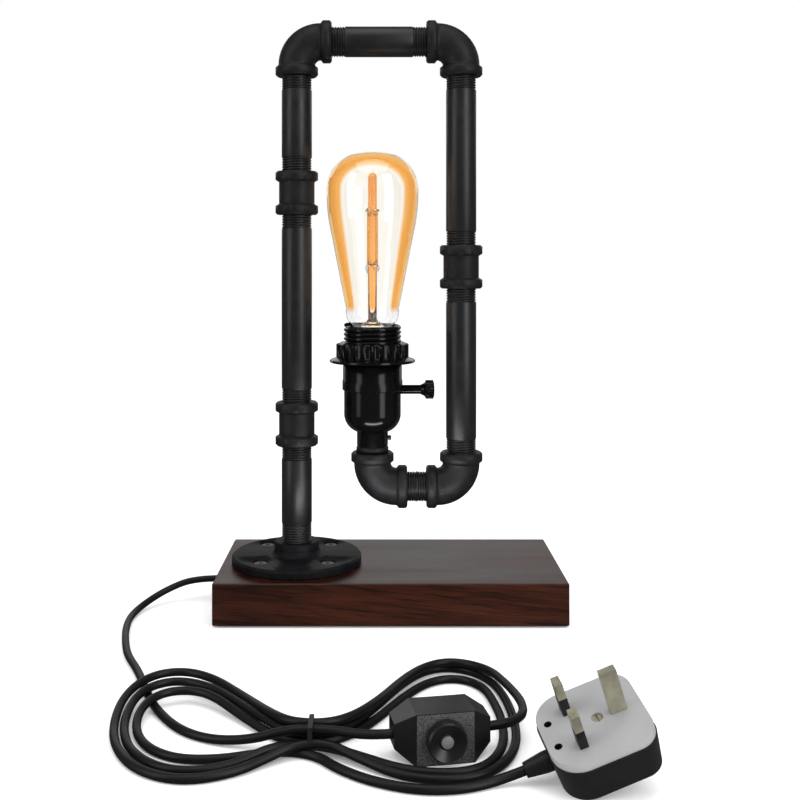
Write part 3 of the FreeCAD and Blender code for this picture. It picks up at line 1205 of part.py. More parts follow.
def make_plug_cover():
    """The plug's hollow cover, narrower at its back, with the lead's hole at its foot."""
    cover = extruded("plug_shell", plug_outline(0), S.plug_deep, "XY_Plane", -S.plug_face,
                     Reversed=True, TaperAngle=-5)
    hollow = draw(new_sketch(cover, "hollow_line", "XY_Plane", -S.plug_face),
                  plug_outline(S.plug_wall))
    cut(cover, "hollow", hollow, S.plug_deep - S.plug_wall, TaperAngle=-5)
    hole = draw_circle(new_sketch(cover, "lead_line"), 0, plug_lead_z,
                       S.sleeve_dia + S.thread_gap * 2)
    cut(cover, "lead_hole", hole, S.plug_tall, Reversed=True)
    return cover


def make_pins():
    """The earth pin, and the two line pins in one body."""
    earth = extruded("earth", centred_box(S.pin_thick, S.earth_wide, 0, S.earth_above),
                     S.earth_long + S.pin_root, "XY_Plane", -S.pin_root)
    lines = new_body("lines")
    ends = new_sketch(lines, "ends", "XY_Plane", -S.pin_root)
    for side in (-1, 1):
        draw(ends, centred_box(S.line_wide, S.pin_thick, line_x * side, line_y))
    feature(lines, "Pad", "pins", ends, Length=S.line_long + S.pin_root)
    return earth, lines


def make_plug_sleeve():
    """The sleeve that guards the lead, held in the cover by its flange."""
    sleeve = new_body("sleeve")
    outer, tip = S.sleeve_dia / 2, S.sleeve_tip / 2
    wall = S.plug_tall / 2 - S.sleeve_inside
    foot = S.plug_tall / 2 + S.sleeve_long
    profile = draw(new_sketch(sleeve, "profile", "YZ_Plane"), [
        (-wall, plug_lead_z + lead_hole_r), (-wall, plug_lead_z + S.sleeve_flange / 2),
        (-wall - S.flange_thick, plug_lead_z + S.sleeve_flange / 2),
        (-wall - S.flange_thick, plug_lead_z + outer), (-S.plug_tall / 2 - 2, plug_lead_z + outer),
        (-foot, plug_lead_z + tip), (-foot, plug_lead_z + lead_hole_r)])
    axis = profile.addGeometry(Part.LineSegment(V(-1, 0, 0), V(1, 0, 0)), True)
    bind_point(profile, axis, 1, -foot, plug_lead_z)
    bind_point(profile, axis, 2, -wall, plug_lead_z)
    turn_about(sleeve, "turn", profile, "Axis0")
    return sleeve


def make_plug_screw():
    """The slotted screw between the pins."""
    screw = new_body("slotted_screw")
    line = draw_circle(new_sketch(screw, "line", "XY_Plane", -S.screw_slot), 0,
                       S.cover_screw_up, S.cover_screw)
    feature(screw, "Pad", "shank", line, Length=S.cover_screw_long, Reversed=True)
    slot = new_sketch(screw, "slot_line", "XY_Plane", -S.screw_slot)
    draw(slot, centred_box(S.cover_screw + 1, S.screw_slot, 0, S.cover_screw_up))
    cut(screw, "slot", slot, S.screw_slot)
    return screw


def make_fuse():
    """The cartridge fuse beside the live pin."""
    fuse = new_body("fuse")
    line = new_sketch(fuse, "line", "XZ_Plane", -(line_y + S.pin_thick / 2 + S.fuse_gap))
    draw_circle(line, line_x, -S.plug_face - S.fuse_gap - S.fuse_dia / 2, S.fuse_dia)
    feature(fuse, "Pad", "pad", line, Length=S.fuse_long, Reversed=True)
    return fuse


def make_plug():
    """All of the plug, turned and set down so that its lowest corner touches the floor."""
    earth, lines = make_pins()
    cover = make_plug_cover()
    doc.recompute()
    turned_cover = cover.Shape.copy()
    turned_cover.Placement = FreeCAD.Placement(V(0, 0, 0), PLUG_TURN)
    lowest = turned_cover.optimalBoundingBox().ZMin
    level = place("plug_level", as_size(-round(lowest, 2)))
    for thing, label in (
            (make_face_plate(), "plug_face_plate"), (cover, "plug_cover"),
            (earth, "plug_earth_pin"), (lines, "plug_line_pins"),
            (make_plug_sleeve(), "plug_sleeve"), (make_plug_screw(), "plug_screw"),
            (make_fuse(), "plug_fuse")):
        keep(put(thing, *PLUG_AT, level, PLUG_TURN), label)
    tip = V(0, -(S.plug_tall / 2 + S.sleeve_long).number, plug_lead_z.number)
    along = PLUG_TURN.multVec(V(0, 1, 0))
    print("sleeve tip", PLUG_TURN.multVec(tip) + V(*PLUG_AT, level.number), "along", along)

make_block()
make_pads()
make_cover()
make_small_screws()
make_flange()
make_flange_screws()
make_pipework()
make_bush_and_stud()
make_cap()
make_grub_screw()
make_skirt()
make_shade_ring()
make_key()
make_insert()
make_contacts()
make_bulb()
make_leads()
make_gland()
make_clamp()
make_hank()
make_dimmer_shells()
make_dimmer_works()
make_plug()

def check_and_write():
    """Stop on any failed object, then write each sub-part's shape."""
    doc.recompute()
    for item in doc.Objects:
        if "Invalid" in item.State or "Error" in item.State:
            raise RuntimeError(f"{item.Name} failed: {item.State}")
    os.makedirs("parts", exist_ok=True)
    for item in parts:
        if item.Shape.isNull() or not item.Shape.isValid():
            raise RuntimeError(f"{item.Label} has no valid shape")
        item.Shape.exportStep(os.path.join("parts", item.Label + ".step"))
        print(f"{item.Label}: {len(item.Shape.Solids)} solid(s), {item.Shape.Volume:.1f} mm3")


check_and_write()
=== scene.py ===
"""Dresses the pipe table lamp: finishes, threaded pipe, lampholder, bulb, dimmer, plug and free lead.

Lengths are in metres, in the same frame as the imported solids: +X to the right, +Y to the back, +Z up.
"""

import json
import logging
import math
from dataclasses import dataclass, field
from enum import Enum

import bmesh
import bpy
from mathutils import Matrix, Vector


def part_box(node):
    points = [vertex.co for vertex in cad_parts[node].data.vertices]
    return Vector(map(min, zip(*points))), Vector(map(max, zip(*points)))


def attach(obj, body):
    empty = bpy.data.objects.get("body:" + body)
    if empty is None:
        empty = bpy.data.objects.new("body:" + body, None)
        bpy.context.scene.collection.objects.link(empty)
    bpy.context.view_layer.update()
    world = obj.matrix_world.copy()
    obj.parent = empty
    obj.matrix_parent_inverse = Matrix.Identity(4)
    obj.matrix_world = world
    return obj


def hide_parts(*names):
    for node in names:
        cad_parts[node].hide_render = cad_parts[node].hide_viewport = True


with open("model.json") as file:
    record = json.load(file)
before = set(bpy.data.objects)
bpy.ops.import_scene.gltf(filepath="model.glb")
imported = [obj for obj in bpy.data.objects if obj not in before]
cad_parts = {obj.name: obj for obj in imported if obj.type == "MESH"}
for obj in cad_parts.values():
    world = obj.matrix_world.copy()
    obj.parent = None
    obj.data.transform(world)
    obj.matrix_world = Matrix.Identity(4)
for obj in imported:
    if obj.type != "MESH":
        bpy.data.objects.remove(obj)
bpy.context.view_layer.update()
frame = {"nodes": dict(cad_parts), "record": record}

MM = 0.001
FULL_TURN = 2 * math.pi
Colour = tuple[float, float, float]
Point = tuple[float, float, float]
EVEN: Point = (1, 1, 1)
NOWHERE: Point = (0, 0, 0)
WHITE: Colour = (1, 1, 1)
MERGE = 1e-6  # vertices nearer than this are one
NOISE_LOW, NOISE_HIGH = 0.3, 0.7  # where most of a noise lies
LOW_STOP, HIGH_STOP = 0.35, 0.65  # the ends of a two-tone ramp

log = logging.getLogger("pipe_lamp")


class Axis(Enum):
    """A direction of the frame that a turned piece runs along."""

    X = 0
    Z = 2


class Line(Enum):
    """How a tube goes from one of its points to the next."""

    STRAIGHT = "POLY"
    SMOOTH = "NURBS"


# ---------------- finishes

class Recipe:
    """A material under construction: its node tree and its shader."""

    def __init__(self, name: str, colour: Colour, roughness: float) -> None:
        """Starts a material with an even colour.

        Args:
            name: the record's slot that the material fills.
            colour: linear red, green and blue.
            roughness: the shader's roughness.
        """
        self.material = bpy.data.materials.new(f"{name}_finish")
        self.material["slot"] = name
        self.material.use_nodes = True
        self.material.diffuse_color = (*colour, 1)
        self.tree = self.material.node_tree
        self.shader = self.tree.nodes["Principled BSDF"]
        self.set(self.shader, {"Base Color": (*colour, 1), "Roughness": roughness})

    def set(self, node: bpy.types.Node, values: dict[str, object]) -> None:
        """Sets the values of a node's own sockets by their names."""
        for name, value in values.items():
            node.inputs[name].default_value = value

    def add(self, kind: str, **settings: object) -> bpy.types.Node:
        """Adds a node and sets its properties.

        Args:
            kind: the node's type.
            **settings: its properties, such as blend_type.

        Returns:
            The node.
        """
        node = self.tree.nodes.new(kind)
        for name, value in settings.items():
            setattr(node, name, value)
        return node

    def link(self, source: bpy.types.NodeSocket, target: bpy.types.NodeSocket) -> None:
        """Joins two sockets."""
        self.tree.links.new(source, target)

    def place(self, stretch: Point = EVEN, shift: Point = NOWHERE, lean: float = 0) -> bpy.types.NodeSocket:
        """Gives the object's own coordinates.

        Args:
            stretch: how much denser a pattern is along each direction.
            shift: where the pattern's origin goes.
            lean: turn about Y before the pattern is stretched, in radians; half as much about Z.

        Returns:
            The socket that holds the coordinates.
        """
        source = self.add("ShaderNodeTexCoord").outputs["Object"]
        if (stretch, shift, lean) == (EVEN, NOWHERE, 0):
            return source
        if lean:
            source = self._mapped(source, {"Rotation": (0, lean, lean / 2)})
        return self._mapped(source, {"Scale": stretch, "Location": shift})

    def _mapped(self, source: bpy.types.NodeSocket, values: dict[str, Point]) -> bpy.types.NodeSocket:
        """Turns, stretches or moves coordinates.

        Args:
            source: the coordinates.
            values: the mapping's sockets and what they are set to.

        Returns:
            The mapped coordinates.
        """
        mapping = self.add("ShaderNodeMapping", vector_type="POINT")
        self.set(mapping, values)
        self.link(source, mapping.inputs["Vector"])
        return mapping.outputs["Vector"]

    def noise(self, where: bpy.types.NodeSocket, scale: float, detail: float = 3,
              **more: float) -> bpy.types.NodeSocket:
        """Adds cloudy noise.

        Args:
            where: the coordinates.
            scale: lumps to the metre.
            detail: finer layers.
            **more: other sockets of the noise, such as Distortion.

        Returns:
            The noise's value, about 0.3 to 0.7.
        """
        node = self.add("ShaderNodeTexNoise")
        self.set(node, {"Scale": scale, "Detail": detail, **more})
        self.link(where, node.inputs["Vector"])
        return node.outputs["Fac"]

    def ramp(self, value: bpy.types.NodeSocket, *stops: tuple[float, Colour]) -> bpy.types.NodeSocket:
        """Turns a value into a colour.

        Args:
            value: the socket that drives the ramp.
            *stops: places from 0 to 1, each with its linear colour.

        Returns:
            The colour's socket.
        """
        node = self.add("ShaderNodeValToRGB")
        elements = node.color_ramp.elements
        while len(elements) < len(stops):
            elements.new(0.5)
        for element, (at, colour) in zip(elements, stops):
            element.position = at
            element.color = (*colour, 1)
        self.link(value, node.inputs["Fac"])
        return node.outputs["Color"]

    def mixed(self, first: bpy.types.NodeSocket, second: bpy.types.NodeSocket, share: float,
              **settings: str) -> bpy.types.NodeSocket:
        """Mixes two values or colours.

        Args:
            first: what the mix starts from.
            second: what goes over it.
            share: how much of the second shows.
            **settings: the mix node's properties.

        Returns:
            The mixed socket.
        """
        node = self.add("ShaderNodeMix", **settings)
        node.inputs["Factor"].default_value = share
        self.link(first, node.inputs["A"])
        self.link(second, node.inputs["B"])
        return node.outputs["Result"]

    def tint(self, value: bpy.types.NodeSocket, *stops: tuple[float, Colour]) -> None:
        """Lets the base colour vary with a value, between stops as a ramp's are."""
        self.link(self.ramp(value, *stops), self.shader.inputs["Base Color"])

    def rough(self, value: bpy.types.NodeSocket, low: float, high: float) -> None:
        """Lets the roughness vary with a noise.

        Args:
            value: the noise, of which the middle range counts.
            low: the roughness at the noise's low end.
            high: the roughness at its high end.
        """
        node = self.add("ShaderNodeMapRange")
        self.set(node, {"From Min": NOISE_LOW, "From Max": NOISE_HIGH, "To Min": low, "To Max": high})
        self.link(value, node.inputs["Value"])
        self.link(node.outputs["Result"], self.shader.inputs["Roughness"])

    def bump(self, *layers: tuple[bpy.types.NodeSocket, float, float]) -> None:
        """Raises the surface.

        Args:
            *layers: a height's socket, its strength, and its depth in metres.
        """
        normal = None
        for height, strength, depth in layers:
            node = self.add("ShaderNodeBump")
            self.set(node, {"Strength": strength, "Distance": depth})
            self.link(height, node.inputs["Height"])
            if normal:
                self.link(normal, node.inputs["Normal"])
            normal = node.outputs["Normal"]
        self.link(normal, self.shader.inputs["Normal"])


@dataclass(frozen=True)
class StainedWood:
    """Pine or beech under a dark red-brown stain, with its grain along X."""

    pale: Colour = (0.050, 0.0105, 0.0030)
    middle: Colour = (0.028, 0.0058, 0.0020)
    dark: Colour = (0.0100, 0.0025, 0.0013)
    pore_shade: Colour = (0.55, 0.55, 0.55)
    ring_shade: Colour = (0.32, 0.30, 0.30)
    drift_scale: Point = (3.2, 26, 34)
    streak_scale: Point = (9, 150, 210)
    pore_scale: Point = (26, 1400, 1400)
    ring_scale: Point = (11, 420, 620)
    roughness: tuple[float, float] = (0.30, 0.42)
    gloss: float = 0.22

    def make(self) -> bpy.types.Material:
        """Makes the material.

        Returns:
            The material, which knows its slot.
        """
        wood = Recipe("stained_wood", self.pale, 0.34)
        drift = wood.noise(wood.place(self.drift_scale, shift=(1.3, 0.4, 0.2)), 1.0, 3, Distortion=0.5)
        streaks = wood.noise(wood.place(self.streak_scale, lean=-0.08), 1.0, 4, Distortion=0.7)
        pores = wood.noise(wood.place(self.pore_scale), 1.0, 2)
        lines = wood.noise(wood.place(self.ring_scale, lean=-0.12), 1.0, 3, Distortion=0.35)
        stain = wood.ramp(wood.mixed(drift, streaks, 0.5, data_type="FLOAT"),
                          (0.36, self.dark), (0.50, self.middle), (0.62, self.pale))
        fine = wood.ramp(pores, (0.36, self.pore_shade), (0.52, WHITE))
        rings = wood.ramp(lines, (0.36, self.ring_shade), (0.47, WHITE))
        over = {"data_type": "RGBA", "blend_type": "MULTIPLY"}
        colour = wood.mixed(wood.mixed(stain, fine, 0.8, **over), rings, 0.75, **over)
        wood.link(colour, wood.shader.inputs["Base Color"])
        wood.rough(drift, *self.roughness)
        wood.bump((pores, 0.25, 0.12 * MM), (drift, 0.2, 0.3 * MM))
        wood.set(wood.shader, {"Specular IOR Level": self.gloss})
        return wood.material


@dataclass(frozen=True)
class CastIron:
    """Malleable iron under black paint: a pebbled skin with soft, uneven edges."""

    colour: Colour = (0.0045, 0.0045, 0.0052)
    worn: Colour = (0.0080, 0.0080, 0.0094)
    patch_scale: float = 130
    lump_scale: float = 420
    grain_scale: float = 1500
    roughness: tuple[float, float] = (0.42, 0.58)
    gloss: float = 0.24

    def make(self) -> bpy.types.Material:
        """Makes the material.

        Returns:
            The material, which knows its slot.
        """
        iron = Recipe("cast_fitting", self.colour, 0.5)
        here = iron.place()
        patches, lumps = iron.noise(here, self.patch_scale), iron.noise(here, self.lump_scale, 2)
        grain = iron.noise(here, self.grain_scale, 4)
        iron.tint(patches, (LOW_STOP, self.colour), (0.7, self.worn))
        iron.rough(grain, *self.roughness)
        iron.bump((lumps, 0.35, 0.4 * MM), (grain, 0.5, 0.22 * MM))
        iron.set(iron.shader, {"Specular IOR Level": self.gloss})
        return iron.material


@dataclass(frozen=True)
class BlackPipe:
    """Steel pipe under satin black paint, with soft clouds and a fine grain."""

    colour: Colour = (0.0045, 0.0045, 0.0053)
    cloud: Colour = (0.0065, 0.0065, 0.0076)
    cloud_scale: float = 90
    grain_scale: float = 2600
    roughness: tuple[float, float] = (0.36, 0.46)
    gloss: float = 0.45

    def make(self) -> bpy.types.Material:
        """Makes the material.

        Returns:
            The material, which knows its slot.
        """
        pipe = Recipe("pipe", self.colour, self.roughness[0])
        here = pipe.place()
        cloud, grain = pipe.noise(here, self.cloud_scale), pipe.noise(here, self.grain_scale, 2)
        pipe.tint(cloud, (LOW_STOP, self.colour), (0.7, self.cloud))
        pipe.rough(cloud, *self.roughness)
        pipe.bump((cloud, 0.12, 0.4 * MM), (grain, 0.18, 0.06 * MM))
        pipe.set(pipe.shader, {"Specular IOR Level": self.gloss})
        return pipe.material


@dataclass(frozen=True)
class Moulding:
    """A moulded plastic, gloss or fine-textured, or a dipped or turned part with a fine skin."""

    name: str
    colour: Colour
    roughness: float = 0.45
    texture: float = 0.25
    grain: float = 2400
    coat: float = 0.0
    mottle: float = 0.12
    gloss: float = 0.4
    cloud_scale: float = 60
    uneven: float = 0.1
    relief: float = 0.08 * MM

    def make(self) -> bpy.types.Material:
        """Makes the material.

        Returns:
            The material, which knows its slot.
        """
        skin = Recipe(self.name, self.colour, self.roughness)
        here = skin.place()
        grain, cloud = skin.noise(here, self.grain, 2), skin.noise(here, self.cloud_scale)
        low, high = (tuple(c * (1 + side * self.mottle) for c in self.colour) for side in (-1, 1))
        skin.tint(cloud, (LOW_STOP, low), (HIGH_STOP, high))
        skin.rough(cloud, self.roughness * (1 - self.uneven), self.roughness * (1 + self.uneven))
        skin.bump((grain, self.texture, self.relief))
        skin.set(skin.shader, {"Specular IOR Level": self.gloss, "Coat Weight": self.coat, "Coat Roughness": 0.06})
        return skin.material


@dataclass(frozen=True)
class Metal:
    """Bare or plated metal with fine turning or brushing marks."""

    name: str
    colour: Colour
    roughness: float = 0.3
    brushing: Point = (900, 900, 120)
    metallic: float = 1.0
    cloud_scale: float = 150
    shades: tuple[float, float] = (0.82, 1.08)
    uneven: tuple[float, float] = (0.75, 1.3)

    def make(self) -> bpy.types.Material:
        """Makes the material.

        Returns:
            The material, which knows its slot.
        """
        metal = Recipe(self.name, self.colour, self.roughness)
        marks, cloud = metal.noise(metal.place(self.brushing), 1.0), metal.noise(metal.place(), self.cloud_scale)
        low, high = (tuple(c * share for c in self.colour) for share in self.shades)
        metal.tint(cloud, (LOW_STOP, low), (HIGH_STOP, high))
        metal.rough(marks, *(self.roughness * share for share in self.uneven))
        metal.bump((marks, 0.15, 0.06 * MM))
        metal.set(metal.shader, {"Metallic": self.metallic})
        return metal.material


@dataclass(frozen=True)
class CoatedGlass:
    """Clear glass under a thin amber coat, which looks deeper where it is seen edge on."""

    name: str
    face: Colour
    edge: Colour
    rim: Colour
    coat_foot: float = 0.0
    coat_fade: float = 5 * MM
    bands: tuple[float, float, float, float] = (0.26, 0.33, 0.72, 0.84)
    clear: Colour = (0.985, 0.985, 1.0)
    ior: float = 1.45

    def make(self) -> bpy.types.Material:
        """Makes the material.

        Returns:
            The material, which knows its slot.
        """
        glass = Recipe(self.name, self.face, 0.0)
        slant = glass.add("ShaderNodeLayerWeight")
        slant.inputs["Blend"].default_value = 0.5
        face_end, edge_start, edge_end, rim_start = self.bands
        tint = glass.ramp(slant.outputs["Facing"], (0.0, self.face), (face_end, self.face),
                          (edge_start, self.edge), (edge_end, self.edge), (rim_start, self.rim))
        height = glass.add("ShaderNodeSeparateXYZ")
        glass.link(glass.place(), height.inputs["Vector"])
        coated = glass.add("ShaderNodeMapRange")
        glass.set(coated, {"From Min": self.coat_foot, "From Max": self.coat_foot + self.coat_fade})
        glass.link(height.outputs["Z"], coated.inputs["Value"])
        colour = glass.add("ShaderNodeMix", data_type="RGBA")
        glass.link(coated.outputs["Result"], colour.inputs["Factor"])
        colour.inputs["A"].default_value = (*self.clear, 1)
        glass.link(tint, colour.inputs["B"])
        glass.link(colour.outputs["Result"], glass.shader.inputs["Base Color"])
        glass.bump((glass.noise(glass.place(), 45, 1), 0.06, 1 * MM))
        glass.set(glass.shader, {"Transmission Weight": 1.0, "IOR": self.ior})
        return glass.material


@dataclass(frozen=True)
class Felt:
    """Pressed felt: matte and fuzzy."""

    colour: Colour = (0.02, 0.02, 0.02)
    fuzz: Colour = (0.05, 0.05, 0.05)

    def make(self) -> bpy.types.Material:
        """Makes the material.

        Returns:
            The material, which knows its slot.
        """
        felt = Recipe("felt", self.colour, 0.95)
        fibres = felt.noise(felt.place(), 3000, 4, Distortion=2)
        felt.tint(fibres, (NOISE_LOW, self.colour), (NOISE_HIGH, self.fuzz))
        felt.bump((fibres, 0.8, 0.3 * MM))
        felt.set(felt.shader, {"Sheen Weight": 0.4})
        return felt.material


@dataclass(frozen=True)
class Beaded:
    """A skin of small lumps: a filament's coating, or a wire gone brown in the heat of the pinch."""

    name: str
    colour: Colour
    low: Colour
    high: Colour
    beads: Point = EVEN
    scale: float = 1.0
    relief: float = 0.0

    def make(self) -> bpy.types.Material:
        """Makes the material.

        Returns:
            The material, which knows its slot.
        """
        skin = Recipe(self.name, self.colour, 0.6)
        beads = skin.noise(skin.place(self.beads), self.scale, 2)
        skin.tint(beads, (LOW_STOP, self.low), (HIGH_STOP, self.high))
        if self.relief:
            skin.bump((beads, self.relief, 0.1 * MM))
        return skin.material


@dataclass(frozen=True)
class GrainedPanel:
    """The panel of the dimmer's case, spark-textured and greyed on its raised grain."""

    hollow: Colour = (0.015, 0.015, 0.016)
    middle: Colour = (0.03, 0.03, 0.031)
    crest: Colour = (0.082, 0.082, 0.084)

    def make(self) -> bpy.types.Material:
        """Makes the material.

        Returns:
            The material, which knows its slot.
        """
        skin = Recipe("black_moulding", self.middle, 0.5)
        specks = skin.noise(skin.place(), 2100, 2)
        skin.tint(specks, (0.42, self.hollow), (0.60, self.crest))
        skin.bump((specks, 0.7, 0.25 * MM))
        return skin.material


FILAMENT = Beaded("filament", (0.72, 0.36, 0.07), (0.55, 0.24, 0.04), (0.80, 0.42, 0.09), (300, 300, 900), 1.0, 0.4)
BROWN_WIRE = Beaded("bulb_metal", (0.02, 0.006, 0.002), (0.012, 0.004, 0.002), (0.03, 0.010, 0.004), scale=900)
# Painted shade: a darker, less glossy copy of the cast iron, for the floor flange only, so that its upward faces read
# as shaded.
SHADE_PAINTED_IRON = CastIron((0.0032, 0.0032, 0.0038), (0.0058, 0.0058, 0.0069), gloss=0.08)
GREY_NUB = Moulding("grey_moulding", (0.13, 0.13, 0.132), 0.45, 0.3, 2600)


def finishes() -> dict[str, bpy.types.Material]:
    """Makes every finish once.

    Returns:
        The materials, by the record's slot names.
    """
    made = [
        StainedWood(), CastIron(), BlackPipe(), Felt(), FILAMENT,
        Moulding("blackened_steel", (0.016, 0.016, 0.017), 0.42, 0.3, 1500),
        Moulding("dark_screw", (0.015, 0.015, 0.0155), 0.36, 0.2, 2500, gloss=0.3),
        Moulding("phenolic", (0.0022, 0.0022, 0.0024), 0.16, 0.05, 400, 0.0, 0.1, 0.21),
        Moulding("ceramic", (0.72, 0.69, 0.62), 0.55, 0.2, 1500),
        Metal("brass", (0.54, 0.515, 0.385), 0.36, metallic=0.86),
        CoatedGlass("amber_glass", (0.997, 0.975, 0.93), (0.955, 0.465, 0.115), (0.98, 0.82, 0.58), 0.204),
        CoatedGlass("stem_glass", (0.88, 0.37, 0.075), (0.82, 0.27, 0.04), (0.70, 0.25, 0.04), 0.203),
        Metal("bulb_metal", (0.55, 0.47, 0.27), 0.3),
        Moulding("insulator", (0.008, 0.008, 0.014), 0.12, 0.05, 500, 0.5),
        Moulding("lead_sheath", (0.0035, 0.0035, 0.0038), 0.44, 0.2, 3000, gloss=0.32),
        Moulding("black_rubber", (0.0060, 0.0060, 0.0065), 0.48, 0.25, 2600),
        Moulding("black_moulding", (0.0075, 0.0075, 0.0080), 0.30, 0.35, 2200),
        Moulding("grey_moulding", (0.30, 0.30, 0.305), 0.50, 0.45, 2600, mottle=0.03),
        Moulding("fuse_ceramic", (0.80, 0.80, 0.76), 0.4, 0.15, 1200),
    ]
    return {material["slot"]: material for material in (finish.make() for finish in made)}


# ---------------- making

def finish_piece(name: str, mesh: bpy.types.Mesh | bpy.types.Curve, material: bpy.types.Material,
                 body: str = "root") -> bpy.types.Object:
    """Puts a mesh or curve in the scene as a piece of the lamp.

    Args:
        name: the piece's name.
        mesh: its data, already in place in the frame.
        material: its finish, which knows its slot.
        body: the body that it moves with.

    Returns:
        The piece.
    """
    piece = bpy.data.objects.new(name, mesh)
    bpy.context.scene.collection.objects.link(piece)
    mesh.materials.append(material)
    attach(piece, body)
    log.info("%s on %s", name, body)
    return piece


def close_mesh(shape: bmesh.types.BMesh, name: str, smooth_below: float = 32.0) -> bpy.types.Mesh:
    """Merges a shape's doubles, turns its faces outwards and keeps its hard edges.

    Args:
        shape: the shape, which is used up.
        name: the mesh's name.
        smooth_below: an edge sharper than this many degrees stays hard.

    Returns:
        The mesh.
    """
    bmesh.ops.remove_doubles(shape, verts=shape.verts, dist=MERGE)
    bmesh.ops.recalc_face_normals(shape, faces=shape.faces)
    return shaded(shape, name, smooth_below)


def shaded(shape: bmesh.types.BMesh, name: str, smooth_below: float) -> bpy.types.Mesh:
    """Makes a shape a mesh that shades smoothly over its blunt edges.

    Args:
        shape: the shape, which is used up.
        name: the mesh's name.
        smooth_below: an edge sharper than this many degrees stays hard.

    Returns:
        The mesh.
    """
    mesh = bpy.data.meshes.new(name)
    shape.to_mesh(mesh)
    shape.free()
    mesh.shade_smooth()
    mesh.set_sharp_from_angle(angle=math.radians(smooth_below))
    return mesh


def outline_wire(shape: bmesh.types.BMesh, points: list[tuple[float, float]], closed: bool) -> list:
    """Draws a profile in the XZ plane.

    Args:
        shape: the shape that gets the profile.
        points: radius and height of each corner.
        closed: whether the last corner joins the first.

    Returns:
        The profile's vertices and edges.
    """
    verts = [shape.verts.new((radius, 0, height)) for radius, height in points]
    pairs = list(zip(verts, verts[1:]))
    if closed:
        pairs.append((verts[-1], verts[0]))
    return verts + [shape.edges.new(pair) for pair in pairs]


def turned(points: list[tuple[float, float]], steps: int = 64, closed: bool = True) -> bmesh.types.BMesh:
    """Turns a profile once round Z.

    Args:
        points: radius and height of each corner of the profile.
        steps: how many flats the full turn has.
        closed: whether the profile is a ring, with a bore inside it.

    Returns:
        The turned shape.
    """
    shape = bmesh.new()
    wire = outline_wire(shape, points, closed)
    bmesh.ops.spin(shape, geom=wire, cent=(0, 0, 0), axis=(0, 0, 1), angle=FULL_TURN, steps=steps, use_merge=True)
    return shape


def smoothed_copy(node: str, name: str, material: bpy.types.Material, body: str = "root",
                  smooth_below: float = 26.0) -> bpy.types.Object:
    """Copies a solid's mesh, merges its loose triangles and lets its round faces shade smoothly.

    Args:
        node: the solid.
        name: the copy's name.
        material: its finish.
        body: the body that it moves with.
        smooth_below: an edge sharper than this many degrees stays hard.

    Returns:
        The piece that stands for the solid.
    """
    shape = bmesh.new()
    shape.from_mesh(frame["nodes"][node].data)
    bmesh.ops.remove_doubles(shape, verts=shape.verts, dist=2 * MERGE)
    mesh = shaded(shape, name, smooth_below)
    mesh.materials.clear()
    piece = finish_piece(name, mesh, material, body)
    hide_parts(node)
    return piece


def dress(node: str, material: bpy.types.Material) -> None:
    """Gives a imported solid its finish.

    Args:
        node: the solid.
        material: its finish.
    """
    solid = frame["nodes"][node]
    if not solid.material_slots:
        solid.data.materials.append(material)
    for holder in solid.material_slots:
        holder.material = material


def middle(node: str) -> Vector:
    """Gives the middle of a solid's box."""
    low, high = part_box(node)
    return (Vector(low) + Vector(high)) / 2


def moved(shape: bmesh.types.BMesh, x: float, y: float, z: float = 0) -> bmesh.types.BMesh:
    """Moves a shape and gives it back.

    Args:
        shape: the shape.
        x: how far to the right.
        y: how far to the back.
        z: how far up.

    Returns:
        The same shape.
    """
    bmesh.ops.translate(shape, vec=(x, y, z), verts=shape.verts)
    return shape


def block(size: Point, edge: float = 0) -> bmesh.types.BMesh:
    """Makes a block round the origin, with rounded edges.

    Args:
        size: its width, depth and height.
        edge: how wide its rounded edges are; 0 leaves them sharp.

    Returns:
        The block.
    """
    shape = bmesh.new()
    bmesh.ops.create_cube(shape, size=1)
    bmesh.ops.scale(shape, vec=size, verts=shape.verts)
    if edge:
        bmesh.ops.bevel(shape, geom=shape.edges[:], offset=edge, offset_type="OFFSET", affect="EDGES",
                        segments=2, profile=0.5, material=-1)
    return shape


def tube_line(name: str, kind: Line, points: list[Point], radius: float, facets: int) -> bpy.types.Curve:
    """Makes an open tube along a line of points.

    Args:
        name: the curve's name.
        kind: how the line goes from point to point.
        points: the line's points, in metres.
        radius: the tube's radius.
        facets: how finely the tube is rounded.

    Returns:
        The curve.
    """
    curve = bpy.data.curves.new(name, "CURVE")
    curve.dimensions = "3D"
    curve.bevel_depth = radius
    curve.bevel_resolution = facets
    curve.use_fill_caps = True
    line = curve.splines.new(kind.value)
    line.points.add(len(points) - 1)
    for control, point in zip(line.points, points):
        control.co = (*point, 1)
    return curve


# ---------------- studio

